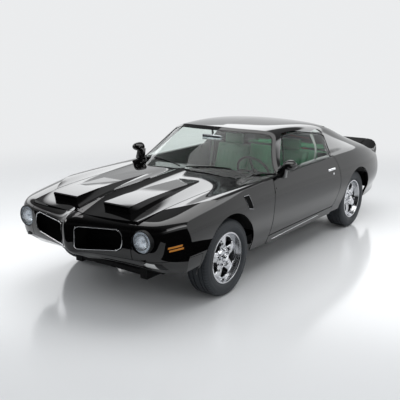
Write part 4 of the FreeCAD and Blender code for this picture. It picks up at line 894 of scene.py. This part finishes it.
def inside(spot, outline):
    hits = 0
    for (ax, az), (bx, bz) in zip(outline, outline[1:] + outline[:1]):
        if (az > spot[1]) != (bz > spot[1]) and spot[0] < (bx - ax) * (spot[1] - az) / (bz - az) + ax:
            hits += 1
    return hits % 2 == 1


def honeycomb_group():
    group, given, out = new_group("honeycomb", "GeometryNodeTree",
                                  [("Geometry", "Geometry"), ("Cell", "Float", CELL),
                                   ("Wire", "Float", CELL_WIRE), ("Finish", "Material")],
                                  [("Geometry", "Geometry")])
    ring = add_node(group, "GeometryNodeMeshCircle", Vertices=6)
    wire = add_node(group, "GeometryNodeCurvePrimitiveCircle", Resolution=4)
    sweep, line = add_node(group, "GeometryNodeCurveToMesh"), add_node(group, "GeometryNodeMeshToCurve")
    place = add_node(group, "GeometryNodeInstanceOnPoints", Rotation=(math.pi / 2, math.pi / 6, 0))
    real, finish = add_node(group, "GeometryNodeRealizeInstances"), add_node(group, "GeometryNodeSetMaterial")
    join(group, (given, "Cell", ring, "Radius"), (given, "Wire", wire, "Radius"),
         (ring, "Mesh", line, "Mesh"), (line, "Curve", sweep, "Curve"),
         (wire, "Curve", sweep, "Profile Curve"),
         (given, "Geometry", place, "Points"), (sweep, "Mesh", place, "Instance"),
         (place, "Instances", real, "Geometry"), (real, "Geometry", finish, "Geometry"),
         (given, "Finish", finish, "Material"), (finish, "Geometry", out, "Geometry"))
    return group


def add_honeycomb():
    step, rise = CELL * math.sqrt(3), CELL * 1.5
    points = []
    for row in range(int(CELL_REACH[1] / rise)):
        for k in range(int(CELL_REACH[0] / step)):
            x, z = CELL_START[0] + (k + 0.5 * (row % 2)) * step, CELL_START[1] + row * rise
            if inside((x, z), GRILLE_CORNERS):
                points += [(x, CELL_PLACE, z), (-x, CELL_PLACE, z)]
    seeds = bpy.data.meshes.new("honeycomb_points")
    seeds.from_pydata(points, [], [])
    source = add_object("honeycomb_points", seeds)
    growth = source.modifiers.new("honeycomb", "NODES")
    growth.node_group = honeycomb_group()
    for item in growth.node_group.interface.items_tree:
        if item.item_type == "SOCKET" and item.in_out == "INPUT" and item.name == "Finish":
            growth[item.identifier] = GRILLE_BLACK
    grown = evaluated_mesh(source)
    bpy.data.objects.remove(source)
    add_piece("grille_honeycomb", grown, [], "grilles")
    return len(points)


def add_grille_rings():
    mesh = bmesh.new()
    for side, _ in SIDES:
        spots = on_front(rounded([(side * x, z) for x, z in GRILLE_CORNERS], 0.014, 3))
        path = smooth_path([spot + Vector((0, -0.0015, 0)) for spot in spots], 150, closed=True)
        bar_along(mesh, path, 0.0042, 8, closed=True, up=Vector((0, 1, 0)))
    finish_mesh("grille_rings", mesh, [CHROME], "grilles", 60.0)


print("grille cells:", add_honeycomb())
add_grille_rings()
smooth_copy("grilles", GRILLE_BLACK)

# %% [markdown]
# Each headlamp has a domed and fluted glass, a bright bowl behind it and a dark ring round it. The parking
# lamps have ribbed white glass, and the side markers are amber.

# %% Lamps
LAMP_MIDDLE, PARKING_END, MARKER_LOW = (0.660, -2.241, 0.654), 0.742, 0.52
LAMP_RINGS = (  # material, segments, (along, radius) points
    (0, 64, [(.014, .0862), (.020, .0860), (.026, .076), (.031, .058), (.034, .036), (.0352, .016),
             (.0355, .0004)]),
    (1, 64, [(.012, .0855), (-.012, .070), (-.030, .046), (-.038, .020), (-.040, .0004)]),
    (2, 64, [(.0, .0948), (.018, .0945), (.026, .0925), (.028, .0895), (.026, .0865), (.012, .0856)]),
    (1, 20, [(-.020, .011), (.004, .011), (.010, .007), (.011, .0005)]),
    (2, 64, [(-.040, .0950), (.001, .0950)]))


def add_headlamps():
    mesh = bmesh.new()
    for side, _ in SIDES:
        x, y, z = LAMP_MIDDLE
        place = Matrix.Translation((side * x, y, z)) @ Matrix.Rotation(math.radians(-90), 4, "Z")
        for index, segments, profile in LAMP_RINGS:
            spun(mesh, profile, segments, place, index=index)
    finish_mesh("headlamp_glass", mesh, [FLUTED, BOWL, TRIM], "headlamps", 40.0, ["headlamps"])


def add_marker_lamps():
    """Amber above; below, ribbed glass up to the end of each parking lamp and black trim past it."""
    mesh = cad_copy("marker_lamps")
    for side, _ in SIDES:
        bmesh.ops.bisect_plane(mesh, geom=mesh.verts[:] + mesh.edges[:] + mesh.faces[:],
                               plane_co=(side * PARKING_END, 0, 0), plane_no=(1, 0, 0))
    for face in mesh.faces:
        middle = face.calc_center_median()
        face.material_index = 1 if middle.z > MARKER_LOW else (0 if abs(middle.x) < PARKING_END else 2)
    finish_mesh("marker_glass", mesh, [PARKING, AMBER, TRIM], "marker_lamps", 30.0, ["marker_lamps"],
                turn_out=False)


add_headlamps()
add_marker_lamps()
print("lamps done")

# %% [markdown]
# Black vents lie at the hood's rear edge and behind the front wheels. Door handles, locks and the lines on
# the sills are chrome, black gaskets edge the glass, and the mirrors are painted with a silvered glass.
# Slim wipers rest on the foot of the windscreen.

# %% Vents, handles, gaskets, mirrors and wipers
HOOD_VENT = [(.035, -.925, .94), (.440, -.885, .94), (.444, -.861, .94), (.035, -.872, .945)]
VENT_RIM = [(-1.174, .846), (-1.091, .846), (-1.042, .706), (-1.124, .723)]
VENT_WELL = [(-1.171, .843), (-1.094, .843), (-1.046, .709), (-1.122, .726)]
HANDLE_FOOT = [(.545, .819), (.711, .819), (.711, .797), (.545, .797)]
HANDLE_GRIP = [(.556, .815), (.704, .815), (.704, .801), (.556, .801)]
LOCK_PLACE = (.660, .757)
LOCK_PROFILE = [(-.002, .012), (.003, .012), (.0045, .010), (.0045, .004), (.002, .003), (.002, .0004)]
SIDE_GLASS_EDGE = [(-.400, .958), (-.295, 1.026), (-.200, 1.107), (-.128, 1.176), (-.060, 1.240),
                   (.112, 1.256), (.341, 1.239), (.605, 1.212), (.820, 1.184), (.838, 1.170),
                   (.804, 1.115), (.734, 1.027), (.683, .960)]
POCKETS = ((.468, .552), (.748, .832))
POCKET_BACK = -.556
WIPERS = (((.46, -.70, .978), (-.02, -.81, .980)), ((-.10, -.81, .980), (-.56, -.67, 1.010)))


def add_hood_vents():
    mesh = bmesh.new()
    for side, _ in SIDES:
        patch(mesh, [(side * x, y, z) for x, y, z in HOOD_VENT], "top", 0.0012, across=16)
    finish_mesh("hood_vents", mesh, [GRILLE_BLACK], "hood")


def add_fender_vents():
    for side, name in SIDES:
        mesh = bmesh.new()
        for index, (corners, lift) in enumerate(((VENT_RIM, 0.0030), (VENT_WELL, 0.0040))):
            patch(mesh, on_flank(side, corners), "flank", lift, across=6, along=8, index=index)
        finish_mesh("vent_fender_" + name, mesh, [ALLOY, GRILLE_BLACK], "fender_" + name)


def add_handles():
    for side, name in SIDES:
        mesh = bmesh.new()
        for corners, lift in ((HANDLE_FOOT, 0.0045), (HANDLE_GRIP, 0.0095)):
            patch(mesh, on_flank(side, corners), "flank", lift, round_off=0.003)
        (spot,), (normal,), _ = on_net("flank", on_flank(side, [LOCK_PLACE]))
        outwards = Vector(normal) * math.copysign(1, normal[0] * side)
        turn = Vector((1, 0, 0)).rotation_difference(outwards).to_matrix().to_4x4()
        spun(mesh, LOCK_PROFILE, 24, Matrix.Translation(Vector(spot)) @ turn)
        finish_mesh("handle_door_" + name, mesh, [CHROME], "door_" + name)


def add_sill_lines():
    for side, name in SIDES:
        mesh = bmesh.new()
        spots = [Vector((.88 * side, -.60 + k * .0833, .306 + k * .0021)) for k in range(13)]
        found, _, _ = on_net("flank", spots)
        bar_along(mesh, smooth_path(found, 30), 0.003)
        finish_mesh("sill_line_" + name, mesh, [CHROME], "floor_pan", 50.0)


def rim_of(obj, bins=72):
    """The rim of a glass panel: its farthest point in each direction from its middle, in order."""
    spots = [v.co.copy() for v in obj.data.vertices]
    middle = sum(spots, Vector()) / len(spots)
    rim = {}
    for spot in spots:
        across, up = (spot.x - middle.x) * 0.35, spot.z - middle.z
        share = int((math.atan2(up, across) / math.pi + 1) * bins / 2) % bins
        reach = math.hypot(across, up) - 0.01 * spot.y
        if share not in rim or reach > rim[share][0]:
            rim[share] = (reach, spot)
    return [rim[share][1] for share in sorted(rim)]


def add_gaskets():
    mesh = bmesh.new()
    bar_along(mesh, smooth_path(rim_of(PANELS["windscreen"]), 160, closed=True), 0.0065, closed=True)
    finish_mesh("windscreen_gasket", mesh, [TRIM], "windscreen", 60.0)
    mesh = bmesh.new()
    for side, _ in SIDES:
        found, _, _ = on_net("cabin", [(side * (.90 - .75 * (z - .95)), y, z) for y, z in SIDE_GLASS_EDGE])
        bar_along(mesh, smooth_path(found, 90), 0.0055)
    finish_mesh("side_gaskets", mesh, [TRIM], "roof", 60.0)


def add_pocket_covers():
    """The door skin closes over its two hinge pockets."""
    for side, name in SIDES:
        mesh = bmesh.new()
        for low, high in POCKETS:
            front = -.6775 + (low - .376) * .18 if low < .6 else -.640 + (low - .650) * .155
            corners = [(front, high), (POCKET_BACK, high), (POCKET_BACK, low), (front, low)]
            patch(mesh, on_flank(side, corners), "flank", 0.0004, sink=0.0008, across=8, along=6)
        finish_mesh("pocket_cover_door_" + name, mesh, [PAINT], "door_" + name)


def add_mirrors():
    for _, name in SIDES:
        node = "door_mirror_" + name
        mesh = cad_copy(node)
        for face in mesh.faces:
            middle = face.calc_center_median()
            face.material_index = int(face.normal.y > 0.98 and middle.y > -0.43 and middle.z > 0.96)
        finish_mesh("mirror_" + name, mesh, [PAINT, CHROME], node, 32.0, [node], turn_out=False)


def add_wipers():
    mesh = bmesh.new()
    for foot, tip in WIPERS:
        found, _, _ = on_net("screen", [Vector(foot).lerp(Vector(tip), k / 12) for k in range(13)])
        path = [Vector(spot) - Vector((0, 0.010, 0)) for spot in found]
        bar_along(mesh, smooth_path(path, 26), 0.004, flat=1.6)
    finish_mesh("wipers", mesh, [TRIM], "windscreen")


add_hood_vents()
add_fender_vents()
add_handles()
add_sill_lines()
add_gaskets()
add_pocket_covers()
add_mirrors()
add_wipers()
print("vents and fittings done")

# %% [markdown]
# The seats are padded pieces. Each starts a little smaller than its CAD solid, is remeshed with 6 mm voxels
# and blown up as cloth with a capped swell. The sewn channels are pressed in afterwards. One seat is worked
# out, and its copy is mirrored to the other side.

# %% Padded seats
VOXEL, SWELL, CHANNEL_DEEP, CHANNEL_WIDE = 0.006, 0.010, 0.006, 0.0045
SEAT_BEVEL, PRESSURE, LAST_STEP = 0.020, 4.0, 20
SEAT_SIDES, CUSHION_SIDES, REAR_BACK_SIDES = (0.162, 0.598), (0.165, 0.568), (0.012, 0.568)
HEADREST = ((.262, .622, .990), (.498, .678, 1.108))
FRONT_CHANNELS = [sum(SEAT_SIDES) / 2 + 0.058 * k for k in (-2.5, -1.5, -0.5, 0.5, 1.5, 2.5)]
REAR_CHANNELS = [0.14 + 0.055 * k for k in range(8)]
BASE_SIDE = [(-.088, .312), (-.088, .410), (.02, .443), (.40, .420), (.455, .395), (.42, .312)]
BACK_SIDE = [(.425, .392), (.500, .374), (.548, .425), (.686, .955), (.658, .986), (.612, .972)]
REAR_CUSHION_SIDE = [(.826, .392), (.814, .462), (.856, .488), (1.140, .450), (1.140, .392)]
REAR_BACK_SIDE = [(1.172, .482), (1.262, .482), (1.368, .866), (1.360, .888), (1.326, .888)]


def side_block(mesh, outline, low_x, high_x):
    """A closed block with a given (y, z) outline between two places across, its edges rounded."""
    ends = [[mesh.verts.new((x, y, z)) for y, z in outline] for x in (low_x, high_x)]
    faces = [mesh.faces.new(ends[0]), mesh.faces.new(ends[1][::-1])]
    for k in range(len(outline)):
        n = (k + 1) % len(outline)
        faces.append(mesh.faces.new((ends[0][k], ends[1][k], ends[1][n], ends[0][n])))
    bmesh.ops.recalc_face_normals(mesh, faces=faces)
    bevel_edges(mesh, [edge for face in faces for edge in face.edges], SEAT_BEVEL, 0.6)


def values_of(mesh, name):
    """Three numbers a point: its place (co) or its normal."""
    values = np.empty(len(mesh.vertices) * 3, np.float32)
    mesh.vertices.foreach_get(name, values)
    return values.reshape(-1, 3)


def move_points(mesh, spots):
    mesh.vertices.foreach_set("co", spots.astype(np.float32).ravel())
    mesh.update()


def blown_up(name, mesh):
    """Remeshes a closed shape and swells it with Blender's Cloth; returns the finished mesh."""
    start = bpy.data.meshes.new(name)
    mesh.to_mesh(start)
    mesh.free()
    work = add_object(name + "_work", start)
    remesh = work.modifiers.new("remesh", "REMESH")
    remesh.mode, remesh.voxel_size = "VOXEL", VOXEL
    even = evaluated_mesh(work)
    work.modifiers.clear()
    work.data = even
    rest = values_of(even, "co")
    cloth = work.modifiers.new("cloth", "CLOTH")
    cloth.settings.use_pressure = True
    cloth.settings.uniform_pressure_force = PRESSURE
    cloth.settings.effector_weights.gravity = 0.0
    cloth.settings.quality = 3
    for step in range(1, LAST_STEP + 1):
        bpy.context.scene.frame_set(step)
    moved = values_of(evaluated_mesh(work), "co") - rest
    work.modifiers.clear()
    length = np.linalg.norm(moved, axis=1, keepdims=True)
    rest = rest + moved * np.minimum(1.0, SWELL / np.maximum(length, 1e-9))
    bpy.context.scene.frame_set(1)
    move_points(even, rest)
    bpy.data.objects.remove(work)
    return even


def press_channels(mesh, lines, low, high):
    """Presses sewn channels into a padded mesh at given places across, between two (y, z) corners."""
    spots, normals = values_of(mesh, "co"), values_of(mesh, "normal")
    within = (((spots[:, 1:] > low) & (spots[:, 1:] < high)).all(1)) & (np.abs(normals[:, 0]) < 0.4)
    deep = np.zeros(len(spots))
    for line in lines:
        deep = np.maximum(deep, CHANNEL_DEEP * np.exp(-((spots[:, 0] - line) / CHANNEL_WIDE) ** 2))
    move_points(mesh, spots - normals * (deep * within)[:, None])


def place_soft(name, mesh, node, replaced=()):
    mesh.materials.clear()
    mesh.shade_smooth()
    obj = add_piece(name, mesh, [VINYL], node, replaced)


def mirrored_mesh(mesh):
    other = mesh.copy()
    other.transform(Matrix.Diagonal((-1, 1, 1, 1)))
    other.flip_normals()
    return other


def add_front_seats():
    mesh = bmesh.new()
    side_block(mesh, BASE_SIDE, *SEAT_SIDES)
    side_block(mesh, BACK_SIDE, *SEAT_SIDES)
    soft_box(mesh, *HEADREST, SEAT_BEVEL)
    seat = blown_up("front_seat", mesh)
    press_channels(seat, FRONT_CHANNELS, (.42, .52), (.66, .90))
    press_channels(seat, FRONT_CHANNELS, (-.06, .40), (.39, .50))
    place_soft("front_seat_left", seat, "front_seats", ("front_seats",))
    place_soft("front_seat_right", mirrored_mesh(seat), "front_seats")
    return len(seat.polygons)


def add_rear_seat():
    mesh = bmesh.new()
    side_block(mesh, REAR_CUSHION_SIDE, *CUSHION_SIDES)
    side_block(mesh, REAR_BACK_SIDE, *REAR_BACK_SIDES)
    seat = blown_up("rear_seat_half", mesh)
    press_channels(seat, REAR_CHANNELS, (.84, .44), (1.12, .55))
    press_channels(seat, REAR_CHANNELS, (1.17, .52), (1.36, .86))
    place_soft("rear_seat_left", seat, "rear_seat", ("rear_seat",))
    place_soft("rear_seat_right", mirrored_mesh(seat), "rear_seat")
    return len(seat.polygons)


print("seats:", add_front_seats(), add_rear_seat())

# %% [markdown]
# Through the glass show the instruments, the steering wheel, an inside mirror and the straps of the seat
# belts.

# %% Inside fittings
MIRROR_STALK = [(0, -.376, 1.20), (0, -.345, 1.222), (0, -.322, 1.236)]
STRAP_PATH = [(.655, .560, 1.190), (.690, .640, .995), (.672, .560, .700)]
DIALS = ((.220, .036), (.315, .052), (.440, .052), (.535, .036))  # across, radius


def add_inside_fittings():
    mesh = bmesh.new()
    soft_box(mesh, (-0.115, -0.395, 1.168), (0.115, -0.370, 1.222), 0.010)
    bar_along(mesh, [Vector(spot) for spot in MIRROR_STALK], 0.006, 8)
    finish_mesh("inside_mirror", mesh, [BOWL], "roof")
    mesh = bmesh.new()
    for side, _ in SIDES:
        path = smooth_path([(side * x, y, z) for x, y, z in STRAP_PATH], 16)
        bar_along(mesh, path, 0.022, 8, flat=0.10, up=Vector((1, 0, 0)))
    finish_mesh("belt_straps", mesh, [STRAP], "quarter_left", 50.0)
    mesh = bmesh.new()
    for x, radius in DIALS:
        place = Matrix.Translation((x, -.401, .815)) @ Matrix.Rotation(math.radians(90), 4, "Z")
        spun(mesh, [(-.020, radius), (.010, radius), (.012, radius - .003), (.008, radius - .005)], 36, place)
        spun(mesh, [(.006, radius - .004), (.006, .0004)], 36, place, index=1)
    finish_mesh("instruments", mesh, [CHROME, DIAL], "dashboard")


add_inside_fittings()
for node in ("steering_wheel", "dashboard", "console"):
    smooth_copy(node, TRIM)
print("inside done")

# %% [markdown]
# The tail has ribbed red lamps and a chrome bumper. A near-black disc closes each exhaust tip: soot plus
# painted shade.

# %% Tail
def add_pipe_ends():
    mesh = bmesh.new()
    for side, _ in SIDES:
        place = Matrix.Translation((side * .235, 2.345, .215)) @ Matrix.Rotation(math.radians(90), 4, "Z")
        spun(mesh, [(.0047, .0315), (.0047, .0290), (-.020, .0285)], 36, place)
        # A near-black disc closes the pipe's mouth: soot plus painted shade in place of the dark hollow
        # inside.
        spun(mesh, [(.0052, .0285), (.0052, .0004)], 36, place, index=1)
    finish_mesh("pipe_ends", mesh, [CHROME, SOOT_AND_SHADE], "exhaust")


add_pipe_ends()
smooth_copy("rear_bumper", CHROME)
smooth_copy("tail_lamps", RED)
print("tail done")

# %% [markdown]
# Pieces that keep their CAD shape take the finish of their material slot.

# %% Dress the plain pieces
FINISHES = {"body_paint": PAINT, "chassis_steel": UNDERSIDE, "exhaust_steel": PIPE_STEEL, "chrome": CHROME,
            "black_plastic": GRILLE_BLACK, "lamp_glass": LAMP_GLASS, "red_lens": RED, "window_glass": GLASS,
            "black_trim": TRIM, "green_vinyl": VINYL, "rubber": TYRE, "polished_alloy": ALLOY}
for obj in NODES.values():
    for slot in obj.material_slots:
        if slot.material:
            slot.material = FINISHES.get(slot.material.name.split(".")[0], slot.material)
print("dressed:", len(NODES))

# %% [markdown]
# A pale floor fades into the background, under a wide soft light and two weaker ones at the sides. Black
# paint shows what it mirrors, so mirrored rays alone see a banded sky, dark in front of the car, and three
# black cards.

# %% Studio
PALE = (0.83, 0.84, 0.85)
FADE_START, FADE_END = 3.2, 8.5
LIGHTS = {  # place, aim, width, depth, watts
    "overhead": ((0.4, 0.3, 4.6), (0.0, 0.1, 0.6), 3.4, 6.5, 170.0),
    "left_side": ((6.5, -2.0, 3.6), (0.0, -0.4, 0.5), 3.0, 2.0, 40.0),
    "right_side": ((-6.0, -5.0, 4.5), (-0.5, -1.5, 0.0), 3.0, 2.0, 75.0)}
FLAGS = {
    "floor_flag": [(1.5, -2.7, 0.002), (4.5, -2.7, 0.002), (4.5, -0.3, 0.002), (1.5, -0.3, 0.002)],
    "side_flag": [(3.0, -0.9, 0.0), (3.0, -4.2, 0.0), (3.0, -4.2, 0.9), (3.0, -0.9, 0.9)],
    "front_flag": [(3.0, -3.6, 0.0), (-4.5, -3.6, 0.0), (-4.5, -3.6, 1.0), (3.0, -3.6, 1.0)]}
SKY_STEPS = ((0.270, 0.32), (0.280, 1.0), (0.400, 1.0), (0.430, 0.07))  # height, brightness


def mix_shaders(tree, share, out, first, second):
    """Mixes two shaders by another node's output."""
    mix = add_node(tree, "ShaderNodeMixShader")
    join(tree, (share, out, mix, "Fac"), (first, 0, mix, 1), (second, 0, mix, 2))
    return mix


def add_stage(name, made, mat, shown):
    """A stage piece whose material shows the given shader node."""
    join(mat.node_tree, (shown, 0, mat.node_tree.nodes["Material Output"], "Surface"))
    made.materials.append(mat)
    obj = add_object(name, made)
    return obj


def add_floor():
    mesh = bmesh.new()
    bmesh.ops.create_circle(mesh, cap_ends=True, segments=96, radius=60.0)
    made = bpy.data.meshes.new("studio_floor")
    mesh.to_mesh(made)
    mesh.free()
    mat = new_material("studio_floor", (0.78, 0.785, 0.79), 0.14, Specular_IOR_Level=0.36)
    tree = mat.node_tree
    coords = add_node(tree, "ShaderNodeTexCoord")
    far = add_node(tree, "ShaderNodeVectorMath", operation="LENGTH")
    fade = add_node(tree, "ShaderNodeMapRange", interpolation_type="SMOOTHERSTEP", From_Min=FADE_START,
                    From_Max=FADE_END)
    glow = add_node(tree, "ShaderNodeEmission", Color=(*PALE, 1), Strength=1.0)
    join(tree, (coords, "Object", far, 0), (far, "Value", fade, "Value"))
    add_stage("studio_floor", made, mat, mix_shaders(tree, fade, "Result", shader_of(mat), glow))


def add_soft_light(name, place, aim, wide, deep, watts):
    light = add_object(name, bpy.data.lights.new(name, "AREA"))
    light.data.shape = "RECTANGLE"
    light.data.size, light.data.size_y, light.data.energy = wide, deep, watts
    light.location = place
    light.rotation_mode = "QUATERNION"
    light.rotation_quaternion = (Vector(aim) - Vector(place)).to_track_quat("-Z", "Y")


def add_flag(name, corners):
    """A black card that the paint mirrors. It is seen by mirrored rays alone, and from its front."""
    card = bpy.data.meshes.new(name)
    card.from_pydata(corners, [], [(0, 1, 2, 3)])
    mat = new_material(name, (0.0, 0.0, 0.0), 1.0, Specular_IOR_Level=0.0)
    tree = mat.node_tree
    facing, clear = add_node(tree, "ShaderNodeNewGeometry"), add_node(tree, "ShaderNodeBsdfTransparent")
    flag = add_stage(name, card, mat, mix_shaders(tree, facing, "Backfacing", shader_of(mat), clear))
    flag.visible_camera = flag.visible_diffuse = flag.visible_transmission = flag.visible_shadow = False


def set_world():
    world = bpy.data.worlds.new("studio")
    bpy.context.scene.world = world
    world.use_nodes = True
    tree = world.node_tree
    tree.nodes.clear()
    path, out = add_node(tree, "ShaderNodeLightPath"), add_node(tree, "ShaderNodeOutputWorld")
    seen = add_node(tree, "ShaderNodeBackground", Color=(*PALE, 1), Strength=1.0)
    lit = add_node(tree, "ShaderNodeBackground", Color=(0.94, 0.97, 1.0, 1), Strength=0.62)
    mirrored = add_node(tree, "ShaderNodeBackground", Color=(*PALE, 1))
    coords, parts = add_node(tree, "ShaderNodeTexCoord"), add_node(tree, "ShaderNodeSeparateXYZ")
    front = add_node(tree, "ShaderNodeMapRange", interpolation_type="SMOOTHSTEP", From_Min=-0.60,
                     From_Max=0.30, To_Min=0.06, To_Max=3.4)
    band = add_node(tree, "ShaderNodeValToRGB")
    product = add_node(tree, "ShaderNodeMath", operation="MULTIPLY")
    steps = band.color_ramp.elements
    steps[0].color, steps[1].color = (0.32, 0.32, 0.32, 1), (0.07, 0.07, 0.07, 1)
    for position, value in SKY_STEPS:
        steps.new(position).color = (value, value, value, 1)
    straight = add_node(tree, "ShaderNodeMath", operation="MAXIMUM")
    join(tree, (coords, "Generated", parts, 0), (parts, "Y", front, "Value"), (parts, "Z", band, "Fac"),
         (front, "Result", product, 0), (band, "Color", product, 1), (product, 0, mirrored, "Strength"),
         (path, "Is Camera Ray", straight, 0), (path, "Is Transmission Ray", straight, 1))
    in_glossy = mix_shaders(tree, path, "Is Glossy Ray", lit, mirrored)
    join(tree, (mix_shaders(tree, straight, 0, in_glossy, seen), 0, out, "Surface"))


add_floor()
for name, values in LIGHTS.items():
    add_soft_light(name, *values)
for name, corners in FLAGS.items():
    add_flag(name, corners)
set_world()
print("studio:", len(LIGHTS), "lights and", len(FLAGS), "flags")
